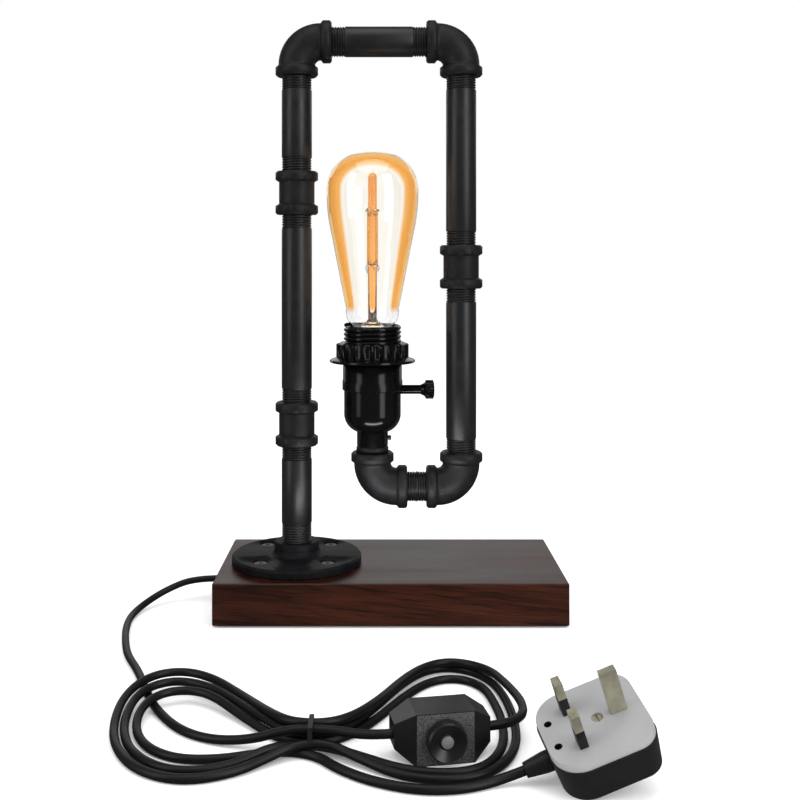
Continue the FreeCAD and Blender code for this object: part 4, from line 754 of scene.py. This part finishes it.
@dataclass
class Studio:
    """The floor, the light round the lamp, and the camera."""

    floor_half: float = 6.0
    floor_paint: Colour = (0.92, 0.92, 0.92)
    floor_glow: float = 0.1
    screen_radius: float = 3.0
    screen_glow: float = 0.12
    window_rise: tuple[float, float] = (0.16, 0.50)
    lights: tuple[tuple[str, Point, tuple[float, float], float], ...] = (
        ("key_light", (0.85, -1.0, 0.55), (0.5, 1.5), 10),
        ("fill_light", (-1.1, -0.7, 0.6), (0.4, 1.4), 5),
        ("top_light", (0.0, -0.3, 1.7), (1.6, 1.2), 10),
        ("bounce_light", (0.0, -0.085, 0.05), (0.13, 0.022), 0.14))
    aim: Point = (0, 0, 0.2)
    eye: Point = (-0.00645, -0.7453, 0.2437)
    lens: float = 47.31
    shift: tuple[float, float] = (0.0239, -0.1785)

    def build(self) -> None:
        """Sets up everything that isn't the lamp."""
        self._world()
        self._floor()
        self._screen()
        for light in self.lights:
            self._soft_box(*light)
        self._camera()
        view = bpy.context.scene.view_settings
        view.view_transform = "Standard"
        view.look = "None"

    def _world(self) -> None:
        """Fills the room with even white light."""
        world = bpy.data.worlds.new("room")
        world.use_nodes = True
        background = world.node_tree.nodes["Background"]
        background.inputs["Color"].default_value = (*WHITE, 1)
        background.inputs["Strength"].default_value = 1.0
        bpy.context.scene.world = world

    def _floor(self) -> None:
        """Lays the pale floor, which glossy reflections don't see."""
        shape = bmesh.new()
        bmesh.ops.create_grid(shape, x_segments=1, y_segments=1, size=self.floor_half)
        floor = self._staged("floor", shape, self.floor_paint, 0.9, self.floor_glow)
        floor.visible_glossy = False

    def _screen(self) -> None:
        """Surrounds the lamp with a grey screen that only its glossy reflections see, open at the back."""
        shape = bmesh.new()
        bmesh.ops.create_icosphere(shape, subdivisions=5, radius=self.screen_radius)
        open_part = [face for face in shape.faces if self._is_window(face.calc_center_median())]
        bmesh.ops.delete(shape, geom=open_part, context="FACES")
        screen = self._staged("grey_screen", shape, (0, 0, 0), 1.0, self.screen_glow)
        screen.visible_camera = screen.visible_diffuse = screen.visible_shadow = False
        screen.visible_transmission = screen.visible_volume_scatter = False

    def _staged(self, name: str, shape: bmesh.types.BMesh, colour: Colour, roughness: float,
                glow: float) -> bpy.types.Object:
        """Puts a shape in the scene as part of the studio, with a matte finish that glows a little.

        Args:
            name: its name.
            shape: the shape, which is used up.
            colour: its linear colour.
            roughness: its shader's roughness.
            glow: the strength of its own white light.

        Returns:
            The object.
        """
        mesh = close_mesh(shape, name)
        thing = bpy.data.objects.new(name, mesh)
        bpy.context.scene.collection.objects.link(thing)
        paint = Recipe(name, colour, roughness)
        paint.set(paint.shader, {"Emission Color": (*WHITE, 1), "Emission Strength": glow, "Specular IOR Level": 0.0})
        mesh.materials.append(paint.material)
        return thing

    def _is_window(self, spot: Vector) -> bool:
        """Tells whether a place on the screen is in its opening, behind the lamp and a little above level."""
        low, high = (rise * self.screen_radius for rise in self.window_rise)
        return spot.y > abs(spot.x) and low < spot.z < high

    def _soft_box(self, name: str, place: Point, size: tuple[float, float], power: float) -> None:
        """Adds a soft box that faces the lamp's middle.

        Args:
            name: the light's name.
            place: where it stands.
            size: its width and height.
            power: its power in watts.
        """
        light = bpy.data.lights.new(name, "AREA")
        light.shape = "RECTANGLE"
        light.size, light.size_y = size
        light.energy = power
        box = bpy.data.objects.new(name, light)
        box.location = place
        box.rotation_euler = (Vector(self.aim) - Vector(place)).to_track_quat("-Z", "Y").to_euler()
        bpy.context.scene.collection.objects.link(box)

    def _camera(self) -> None:
        """Adds the camera, level and turned to the back."""
        lens = bpy.data.cameras.new("camera")
        lens.sensor_width = 36
        lens.lens = self.lens
        lens.shift_x, lens.shift_y = self.shift
        lens.clip_start = 0.01
        camera = bpy.data.objects.new("camera", lens)
        camera.location = self.eye
        camera.rotation_euler = (math.pi / 2, 0, 0)
        bpy.context.scene.collection.objects.link(camera)
        bpy.context.scene.camera = camera


# ---------------- free lead

@dataclass
class FreeLead:
    """The mains lead: from the block to the dimmer, and from the dimmer through its hank to the plug."""

    sheath: bpy.types.Material
    diameter: float = 4.6 * MM

    to_dimmer: tuple[Point, ...] = (
        (-119.7, 3, 15.2), (-139, 3, 15.2), (-157, -3, 9.5), (-170, -17, 4), (-175, -38, 2.3), (-172.5, -61, 2.3),
        (-167, -85, 2.3), (-160, -108, 2.3), (-148.8, -130.1, 2.3), (-141, -150, 2.3), (-133, -170, 2.3),
        (-123, -190, 2.3), (-108, -210, 2.3), (-90, -220, 2.3), (-70, -225, 5), (-52, -227, 11),
        (-32, -229, 11.7), (-18.5, -233.8, 11.7), (-6.5, -236.2, 12.5), (2.3, -234.65, 12.5))

    # Three rounds of a figure of eight, held in its waist by the tie, and then the tail to the plug.
    to_plug: tuple[Point, ...] = (
        (43.7, -227.35, 12.5), (53, -225.3, 12.5), (61, -220, 12.4), (66, -211.5, 12.2), (67, -198, 11.8),
        (65, -183, 11), (61, -164, 9.5), (56.5, -146, 7.8), (46, -133.5, 7), (32, -129.5, 7), (18.5, -137.5, 7),
        (6, -158, 8), (-7, -190, 10), (-20, -212, 11), (-33, -221.7, 11.6), (-49, -221, 11.6),
        (-60, -212, 11), (-81, -177, 6.5), (-101, -153, 6.9), (-120, -143, 6.9), (-137, -150, 6.9),
        (-146.5, -171, 5), (-145, -203, 2.3), (-136, -231, 2.3), (-120, -252, 2.3), (-98, -261, 2.3),
        (-76, -253.5, 2.3), (-62, -242, 3.4), (-49, -233.5, 6.2), (-33, -232.5, 6.95),
        (-17, -242, 4), (2, -256, 2.3), (26, -261, 2.3), (47, -252.5, 2.3), (60, -230, 2.3), (63.5, -200, 2.3),
        (61.5, -166, 2.3), (56, -145, 2.3), (45, -131, 2.3), (31, -126.5, 2.3), (17, -133.5, 2.3),
        (4, -153, 2.3), (-8, -183, 4), (-20, -210, 6.2), (-32.5, -221.5, 6.95), (-48, -222.5, 6.95),
        (-60, -213, 6.6), (-84, -182, 6), (-101, -165, 6.9), (-117, -157.5, 6.9), (-129, -160.5, 6.9),
        (-137.5, -170, 6.2), (-140.5, -186, 4.5), (-138.5, -208, 2.3), (-129, -232, 2.3), (-113, -248, 2.3),
        (-95, -252.5, 2.3), (-76, -245.5, 2.3), (-62, -237, 6), (-48, -229, 4.6), (-32, -227.5, 2.6),
        (-15, -238, 2.3), (6, -251.5, 2.3), (28, -254.5, 2.3), (45, -246.5, 2.3), (54.5, -226, 2.3),
        (57, -198, 2.3), (54.5, -171, 2.3), (51, -155, 2.3), (42, -144.5, 2.3), (29.5, -143, 2.3),
        (17, -151.5, 2.3), (4, -172, 2.3), (-10, -198, 2.3), (-20, -212, 2.3), (-33, -222, 2.3), (-48, -223, 2.3),
        (-61, -215, 2.4), (-81, -193.5, 4), (-97, -177, 6.9), (-110, -170.5, 7), (-122.5, -172, 6.9),
        (-131, -180.5, 6), (-134, -195, 4), (-130.5, -213, 2.3), (-120, -230, 2.3), (-104, -240, 2.3),
        (-84, -240, 2.3), (-66, -234, 2.3), (-51, -231.5, 2.3), (-37, -236.5, 2.3),
        (-27, -249, 2.3), (-10, -261.5, 2.3), (10, -269, 2.3), (30, -268.5, 2.3), (48.8, -260.2, 2.3),
        (62.97, -259, 7.47))

    def build(self, dimmer: list[bpy.types.Object], plug: list[bpy.types.Object]) -> None:
        """Lays both runs.

        Args:
            dimmer: the pieces of the dimmer, which the first run ends in; not used.
            plug: the pieces of the plug, which the second run ends in; not used.
        """
        first = self._run("lead_first_run", self.to_dimmer, "mains_lead", "lead_to_dimmer")
        second = self._run("lead_second_run", self.to_plug, "lead_from_dimmer", "lead_hank", "lead_tail")

    def _metres(self, point: Point) -> Point:
        """Turns a point in millimetres to metres."""
        return tuple(value * MM for value in point)

    def _run(self, name: str, points: tuple[Point, ...], *nodes: str) -> bpy.types.Object:
        """Makes one run of the lead as a tube along a smooth line.

        Args:
            name: the piece's name.
            points: the line's control points, in millimetres.
            *nodes: the solids that the run stands for.

        Returns:
            The run.
        """
        curve = tube_line(name, Line.SMOOTH, [self._metres(point) for point in points], self.diameter / 2, 4)
        line = curve.splines[0]
        line.order_u = 3
        line.use_endpoint_u = True
        line.resolution_u = 8
        run = finish_piece(name, curve, self.sheath)
        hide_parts(*nodes)
        return run


# ---------------- pipe loop

@dataclass
class Thread:
    """A ridge that winds round a rod or a mouth."""

    root: float
    crest: float
    pitch: float
    steps: int = 40
    flat: float = 0.1
    sunk: float = 0.15 * MM

    def ridge(self, foot: float, turns: float) -> bmesh.types.BMesh:
        """Winds the ridge round Z.

        Args:
            foot: the height at which it starts.
            turns: how often it goes round.

        Returns:
            The ridge, closed at both ends.
        """
        shape = bmesh.new()
        half, flat = self.pitch / 2, self.pitch * self.flat
        shoulder = (self.root + 2 * self.crest) / 3
        section = [(self.root - self.sunk, -half), (shoulder, -(half + flat) / 2), (self.crest, -flat),
                   (self.crest, flat), (shoulder, (half + flat) / 2), (self.root - self.sunk, half)]
        wire = outline_wire(shape, [(radius, foot + half + rise) for radius, rise in section], True)
        steps = round(self.steps * turns)
        bmesh.ops.spin(shape, geom=wire, cent=(0, 0, 0), axis=(0, 0, 1), angle=FULL_TURN * turns, steps=steps,
                       dvec=(0, 0, self.pitch * turns / steps), use_merge=False)
        bmesh.ops.holes_fill(shape, edges=[edge for edge in shape.edges if edge.is_boundary], sides=6)
        return shape


def join(*shapes: bmesh.types.BMesh) -> bmesh.types.BMesh:
    """Puts several shapes into the first one.

    Args:
        *shapes: the shapes, of which all but the first are used up.

    Returns:
        The first shape.
    """
    first, *others = shapes
    for other in others:
        bmesh.ops.recalc_face_normals(other, faces=other.faces)
        carrier = bpy.data.meshes.new("carrier")
        other.to_mesh(carrier)
        other.free()
        first.from_mesh(carrier)
        bpy.data.meshes.remove(carrier)
    return first


@dataclass
class PipeLength:
    """A length of half-inch pipe, with a thread at each end that goes on inside its fitting."""

    node: str
    along: Axis
    low_fitting: str
    high_fitting: str
    low_shown: float = 9.6 * MM
    high_shown: float = 9.6 * MM
    radius: float = 10.65 * MM
    bore: float = 8.0 * MM
    shoulder: float = 0.5 * MM
    step: tuple[float, float] = (0.2 * MM, 0.05 * MM)
    inside: float = 2.5 * MM
    runout: float = 0.6
    thread: Thread = field(default_factory=lambda: Thread(9.65 * MM, 10.42 * MM, 1.814 * MM))

    def build(self, material: bpy.types.Material) -> bpy.types.Object:
        """Makes the pipe in the place of its solid.

        Args:
            material: its finish.

        Returns:
            The pipe.
        """
        way = self.along.value
        low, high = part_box(self.node)
        start, end = low[way], high[way]
        low_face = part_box(self.low_fitting)[1][way] - start
        high_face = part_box(self.high_fitting)[0][way] - start
        length = end - start
        most = (high_face - low_face) / 2 - self.shoulder
        low_shown, high_shown = min(self.low_shown, most), min(self.high_shown, most)
        first, last = low_face + low_shown, high_face - high_shown
        root, lower = self.thread.root, self.radius - self.step[0]
        shape = turned([(self.bore, 0), (root, 0), (root, first), (lower, first + self.step[1]),
                        (self.radius, first + self.shoulder), (self.radius, last - self.shoulder),
                        (lower, last - self.step[1]), (root, last), (root, length), (self.bore, length)])
        low_turns, high_turns = ((shown + self.inside) / self.thread.pitch for shown in (low_shown, high_shown))
        shape = join(shape, self.thread.ridge(low_face - self.inside, low_turns),
                     self.thread.ridge(last - self.thread.pitch * self.runout, high_turns))
        centre = middle(self.node)
        centre[way] = start
        turn = Matrix.Rotation(math.pi / 2, 4, "Y") if self.along is Axis.X else Matrix.Identity(4)
        bmesh.ops.transform(shape, matrix=Matrix.Translation(centre) @ turn, verts=shape.verts)
        piece = finish_piece(f"{self.node}_threaded", close_mesh(shape, self.node), material)
        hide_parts(self.node)
        return piece


@dataclass
class PipeLoop:
    """The loop of pipe and its fittings, from the floor flange round to the bush under the lampholder."""

    pipe: bpy.types.Material
    cast: bpy.types.Material
    shade_painted_cast: bpy.types.Material
    fittings: tuple[str, ...] = (
        "post_lower_coupling", "post_upper_coupling", "top_left_elbow", "top_right_elbow", "drop_coupling",
        "bend_right_elbow", "bend_left_elbow", "reducing_bush")
    lengths: tuple[PipeLength, ...] = (
        PipeLength("post_lower_pipe", Axis.Z, "floor_flange", "post_lower_coupling", low_shown=12.5 * MM),
        PipeLength("post_middle_pipe", Axis.Z, "post_lower_coupling", "post_upper_coupling"),
        PipeLength("post_upper_pipe", Axis.Z, "post_upper_coupling", "top_left_elbow"),
        PipeLength("top_pipe", Axis.X, "top_left_elbow", "top_right_elbow"),
        PipeLength("drop_upper_pipe", Axis.Z, "drop_coupling", "top_right_elbow"),
        PipeLength("drop_lower_pipe", Axis.Z, "bend_right_elbow", "drop_coupling"),
        PipeLength("close_pipe", Axis.X, "bend_left_elbow", "bend_right_elbow"))

    def build(self) -> None:
        """Makes the fittings and the threaded pipe."""
        # The floor flange takes the darker copy of the iron: painted shade.
        smoothed_copy("floor_flange", "floor_flange_painted_shade_cast", self.shade_painted_cast)
        for node in self.fittings:
            smoothed_copy(node, f"{node}_cast", self.cast)
        for length in self.lengths:
            length.build(self.pipe)


@dataclass
class CrossScrews:
    """Countersunk wood screws with a cross recess, each turned its own way."""

    node: str = "flange_screws"
    sunk: float = 3.2 * MM
    rim_tall: float = 0.3 * MM
    rim_round: float = 0.15 * MM
    dome: float = 0.35 * MM
    dome_round: tuple[float, float] = (0.55, 0.7)
    shank: float = 4.2 * MM
    tip: float = 5 * MM
    slot: float = 1.15 * MM
    reach: float = 5.0 * MM
    deep: float = 1.7 * MM
    taper: Point = (0.55, 0.6, 1)
    turns: tuple[float, ...] = (0.3, 1.0, -0.5, 0.75)

    def build(self, material: bpy.types.Material) -> bpy.types.Object:
        """Makes every screw in the place of its solid.

        Args:
            material: their finish.

        Returns:
            The screws, as one piece.
        """
        low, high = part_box(self.node)
        rim = self._head_radius()
        places = [(x, y) for x in (low.x + rim, high.x - rim) for y in (low.y + rim, high.y - rim)]
        screws = [moved(self._screw(rim, low.z, high.z, turn), x, y) for (x, y), turn in zip(places, self.turns)]
        piece = finish_piece("flange_screw_heads", close_mesh(join(*screws), "screw_heads"), material)
        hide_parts(self.node)
        return piece

    def _head_radius(self) -> float:
        """Measures a head, which is how far a screw's axis lies inside the box of all four.

        Returns:
            Half the width of a head.
        """
        solid = frame["nodes"][self.node].data
        top = max(vertex.co.z for vertex in solid.vertices)
        rim = [vertex.co.x for vertex in solid.vertices if vertex.co.z > top - self.sunk / 2]
        split = sum(rim) / len(rim)
        left = [x for x in rim if x < split]
        return (max(left) - min(left)) / 2

    def _screw(self, rim: float, foot: float, top: float, turn: float) -> bmesh.types.BMesh:
        """Makes one screw on the Z axis and cuts its cross.

        Args:
            rim: its head's radius.
            foot: the height of its point.
            top: the height of its head.
            turn: how far its cross is turned, in radians.

        Returns:
            The screw.
        """
        shank, (across, rise) = self.shank / 2, self.dome_round
        shape = turned([(0, foot), (shank, foot + self.tip), (shank, top - self.sunk), (rim, top - self.rim_tall),
                        (rim - self.rim_round, top), (rim * across, top + self.dome * rise), (0, top + self.dome)],
                       40, False)
        cutters = [self._bit(top, turn + quarter) for quarter in (0, math.pi / 2)]
        cut = bmesh.new()
        cut.from_mesh(carved(close_mesh(shape, "screw_blank"), cutters))
        return cut

    def _bit(self, top: float, turn: float) -> bpy.types.Mesh:
        """Makes the shape of one bar of the cross, narrower at its foot.

        Args:
            top: the height of the screw's head.
            turn: how far the bar is turned, in radians.

        Returns:
            The bar.
        """
        bar = block((self.reach, self.slot, self.deep * 2))
        feet = [vertex for vertex in bar.verts if vertex.co.z < 0]
        bmesh.ops.scale(bar, vec=self.taper, verts=feet)
        bmesh.ops.rotate(bar, matrix=Matrix.Rotation(turn, 3, "Z"), verts=bar.verts)
        return close_mesh(moved(bar, 0, 0, top), "cross_tool")


def carved(mesh: bpy.types.Mesh, tools: list[bpy.types.Mesh]) -> bpy.types.Mesh:
    """Cuts closed shapes out of a closed mesh.

    Args:
        mesh: what is cut.
        tools: the shapes that are taken away.

    Returns:
        The cut mesh.
    """
    collection = bpy.context.scene.collection
    blank = bpy.data.objects.new("blank", mesh)
    cutters = [bpy.data.objects.new("cutter", tool) for tool in tools]
    for item in (blank, *cutters):
        collection.objects.link(item)
    for cutter in cutters:
        cut = blank.modifiers.new("cut", "BOOLEAN")
        cut.operation = "DIFFERENCE"
        cut.solver = "EXACT"
        cut.object = cutter
    bpy.context.view_layer.update()
    result = bpy.data.meshes.new_from_object(blank.evaluated_get(bpy.context.evaluated_depsgraph_get()))
    for item in (blank, *cutters):
        bpy.data.objects.remove(item)
    return result


# ---------------- lampholder

@dataclass
class Lampholder:
    """The keyed lampholder: its mouldings, the coarse thread on its mouth, and its shade ring."""

    phenolic: bpy.types.Material
    mouth_thread: Thread = field(default_factory=lambda: Thread(18.9 * MM, 20.2 * MM, 3.1 * MM, 56, 0.16))
    thread_tall: float = 17.0 * MM
    last_edge: float = 1.2 * MM
    mouldings: tuple[tuple[str, str], ...] = (
        ("holder_cap", "root"), ("holder_skirt", "root"), ("shade_ring", "ring"), ("switch_key", "key"))

    def build(self) -> None:
        """Makes the holder's pieces."""
        for node, body in self.mouldings:
            smoothed_copy(node, f"{node}_moulding", self.phenolic, body)
        self._mouth_thread()

    def _mouth_thread(self) -> None:
        """Winds the coarse thread round the mouth, from inside the ring up to the rim.

        The ridge's lower edge ends a little under the rim, so its upper edge stands over the rim at the back.
        """
        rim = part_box("holder_skirt")[1].z
        turns = self.thread_tall / self.mouth_thread.pitch
        shape = self.mouth_thread.ridge(rim - self.last_edge - self.thread_tall, turns)
        centre = middle("bulb_glass")
        mesh = close_mesh(moved(shape, centre.x, centre.y), "mouth_thread")
        finish_piece("holder_mouth_thread", mesh, self.phenolic)


# ---------------- bulb

@dataclass
class Bulb:
    """The filament bulb: glass, stem, filament sticks, and the fine wires that hold them."""

    amber: bpy.types.Material
    stem: bpy.types.Material
    metal: bpy.types.Material
    cap_thread: Thread = field(default_factory=lambda: Thread(12.35 * MM, 13.2 * MM, 3.63 * MM, 48, 0.07))
    cap_plain: float = 4.2 * MM
    cap_slope: float = 3.0 * MM
    cap_wall: float = 0.4 * MM
    wire_radius: float = 0.3 * MM
    wire_back: float = 2.4 * MM
    wire_below: float = 1 * MM
    wire_top: float = 1.3 * MM
    wire_foot: float = -2.2 * MM
    zigzag: tuple[tuple[float, float], ...] = (
        (-4.8, 0.2), (-3.4, 2.2), (-3.0, -1.6), (-0.8, 0.2), (-1.6, -2.4), (1.4, 1.2), (0.9, -1.2), (3.2, -1.9),
        (3.9, 1.6), (4.8, 0.3))

    def build(self) -> None:
        """Makes the bulb's pieces."""
        smoothed_copy("bulb_glass", "bulb_glass_clear", self.amber, "bulb", 60)
        smoothed_copy("bulb_stem", "bulb_stem_clear", self.stem, "bulb", 60)
        self._screw_cap()
        low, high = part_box("bulb_filaments")
        self._wire("filament_wires_top", high.z - self.wire_below, self.wire_top)
        self._wire("filament_wires_foot", low.z - self.wire_below, self.wire_foot)

    def _screw_cap(self) -> None:
        """Makes the screw cap with its rolled thread, in the place of the plain one."""
        low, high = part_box("bulb_cap")
        root, crest, slope, wall = self.cap_thread.root, self.cap_thread.crest, self.cap_slope, self.cap_wall
        tall, inner = high.z - low.z, root - wall
        plain = tall - self.cap_plain
        shape = turned([(inner - slope, 0), (crest - slope, 0), (root, slope - crest + root), (root, plain),
                        (crest, plain + 2 * wall), (crest, tall), (crest - wall, tall),
                        (crest - wall, plain + 2 * wall), (inner, plain), (inner, slope), (inner - slope, wall)])
        shape = join(shape, self.cap_thread.ridge(slope, (plain - slope) / self.cap_thread.pitch))
        centre = middle("bulb_cap")
        mesh = close_mesh(moved(shape, centre.x, centre.y, low.z), "bulb_cap")
        piece = finish_piece("bulb_cap_threaded", mesh, self.metal, "bulb")
        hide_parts("bulb_cap")

    def _wire(self, name: str, height: float, stretch: float) -> None:
        """Bends one hooked wire past the filaments' ends.

        Args:
            name: the wire's name.
            height: its middle's height.
            stretch: how tall its zigzag is, and which way up.
        """
        axis = middle("bulb_filaments")
        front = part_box("filament_rings")[0].y - self.wire_radius
        half = self.zigzag[-1][0]
        points = [(axis.x + across * MM, front + abs(across) / half * self.wire_back, height + rise * stretch)
                  for across, rise in self.zigzag]
        finish_piece(name, tube_line(name, Line.STRAIGHT, points, self.wire_radius, 2), BROWN_WIRE.make(), "bulb")


# ---------------- dimmer and plug

@dataclass
class Dimmer:
    """The in-line dimmer: its solids, and the grained panel round its knob."""

    place: Point = (23 * MM, -231 * MM, 12.5 * MM)
    turn: float = math.radians(10)
    panel: tuple[float, float] = (28.4 * MM, 24.2 * MM)
    face: float = 10.0 * MM
    proud: float = 0.14 * MM
    sunk: float = 0.3 * MM
    panel_edge: float = 0.06 * MM
    solids: tuple[str, ...] = ("dimmer_front_shell", "dimmer_back_shell", "dimmer_knob", "dimmer_shaft")

    def build(self) -> list[bpy.types.Object]:
        """Makes the panel and greys the knob's nub.

        Returns:
            Every piece of the dimmer that shows.
        """
        wide, tall = self.panel
        shape = block((wide, self.proud + self.sunk, tall), self.panel_edge)
        moved(shape, 0, -self.face + (self.sunk - self.proud) / 2)
        spot = Matrix.Translation(self.place) @ Matrix.Rotation(self.turn, 4, "Z")
        bmesh.ops.transform(shape, matrix=spot, verts=shape.verts)
        panel = finish_piece("dimmer_panel", close_mesh(shape, "dimmer_panel"), GrainedPanel().make())
        dress("dimmer_shaft", GREY_NUB.make())
        return [panel] + [frame["nodes"][node] for node in self.solids]


@dataclass
class Plug:
    """The three-pin plug: its solids, the sleeves on its line pins, and its sunk screws, whose holes are lined dark
    as painted shade.
    """

    turn: Matrix = field(default_factory=lambda: (
        Matrix.Rotation(math.radians(-85), 4, "Z") @ Matrix.Rotation(math.radians(20), 4, "X")
        @ Matrix.Rotation(math.radians(16), 4, "Y")))
    line_across: float = 11.1 * MM
    line_down: float = -9.1 * MM
    line_pin: tuple[float, float] = (6.35 * MM, 4.0 * MM)
    sleeve_proud: float = 0.12 * MM
    sleeve_tall: float = 9.3 * MM
    sleeve_edge: float = 0.25 * MM
    grip_screw: tuple[float, float] = (7.4 * MM, -19.5 * MM)
    grip_hole: float = 1.86 * MM
    hole_lip: float = -0.12 * MM
    hole_floor: float = -3.4 * MM
    hole_wall: tuple[float, float] = (0.2 * MM, 0.35 * MM)
    screw_top: tuple[float, float] = (-2.2 * MM, -2.0 * MM)
    solids: tuple[str, ...] = ("plug_face_plate", "plug_cover", "plug_earth_pin", "plug_line_pins", "plug_sleeve",
                               "plug_screw")

    def build(self, made: dict[str, bpy.types.Material]) -> list[bpy.types.Object]:
        """Makes the plug's details.

        Args:
            made: the finishes.

        Returns:
            Every piece of the plug that shows.
        """
        mount = next(row for row in frame["record"]["mounts"] if row["name"] == "mains_plug")
        spot = Matrix.Translation(mount["pos_m"]) @ self.turn
        sleeves = self._at(spot, "plug_pin_sleeves", [self._sleeve(side) for side in (-1, 1)], made["black_rubber"])
        # Each screw is a dark screw head sunk in its hole, with a dark lining up the hole's wall that paints the
        # shade in the hole.
        screws = self._at(spot, "plug_grip_screws_and_painted_shade", [self._screw_and_shade_lining(side) for side in (-1, 1)],
                          made["black_moulding"])
        return [sleeves, screws] + [frame["nodes"][node] for node in self.solids]

    def _at(self, spot: Matrix, name: str, shapes: list[bmesh.types.BMesh],
            material: bpy.types.Material) -> bpy.types.Object:
        """Joins shapes in the plug's own place and sets them in the frame.

        Args:
            spot: the plug's place and turn in the frame.
            name: the piece's name.
            shapes: the shapes, which are used up.
            material: their finish.

        Returns:
            The piece.
        """
        shape = join(*shapes)
        bmesh.ops.transform(shape, matrix=spot, verts=shape.verts)
        return finish_piece(name, close_mesh(shape, name), material)

    def _sleeve(self, side: int) -> bmesh.types.BMesh:
        """Makes the sleeve at the root of one line pin.

        Args:
            side: -1 for the left pin and 1 for the right.

        Returns:
            The sleeve, in the plug's own place.
        """
        wide, thick = (size + 2 * self.sleeve_proud for size in self.line_pin)
        shape = block((wide, thick, self.sleeve_tall), self.sleeve_edge)
        return moved(shape, self.line_across * side, self.line_down, self.sleeve_tall / 2)

    def _screw_and_shade_lining(self, side: int) -> bmesh.types.BMesh:
        """Makes one dark screw at the bottom of its hole, with a dark lining up the hole's wall that is painted
        shade.

        Args:
            side: -1 for the left hole and 1 for the right.

        Returns:
            The screw and its painted-shade lining, in the plug's own place.
        """
        rim, (upper, lower), (edge, crown) = self.grip_hole, self.hole_wall, self.screw_top
        shape = turned([(0, self.hole_floor), (rim, self.hole_floor), (rim, self.hole_lip),
                        (rim - upper, self.hole_lip), (rim - lower, edge), (0, crown)], 32, False)
        across, down = self.grip_screw
        return moved(shape, across * side, down)


# ---------------- main


def main() -> None:
    """Builds the studio and dresses the lamp."""
    logging.basicConfig(level=logging.INFO, format="%(message)s")
    made = finishes()
    Studio().build()
    for row in frame["record"]["subparts"]:
        dress(row["node"], made[row["material_slot"]])
    PipeLoop(made["pipe"], made["cast_fitting"], SHADE_PAINTED_IRON.make()).build()
    CrossScrews().build(made["dark_screw"])
    Lampholder(made["phenolic"]).build()
    Bulb(made["amber_glass"], made["stem_glass"], made["bulb_metal"]).build()
    FreeLead(made["lead_sheath"]).build(Dimmer().build(), Plug().build(made))


if __name__ == "__main__":
    main()
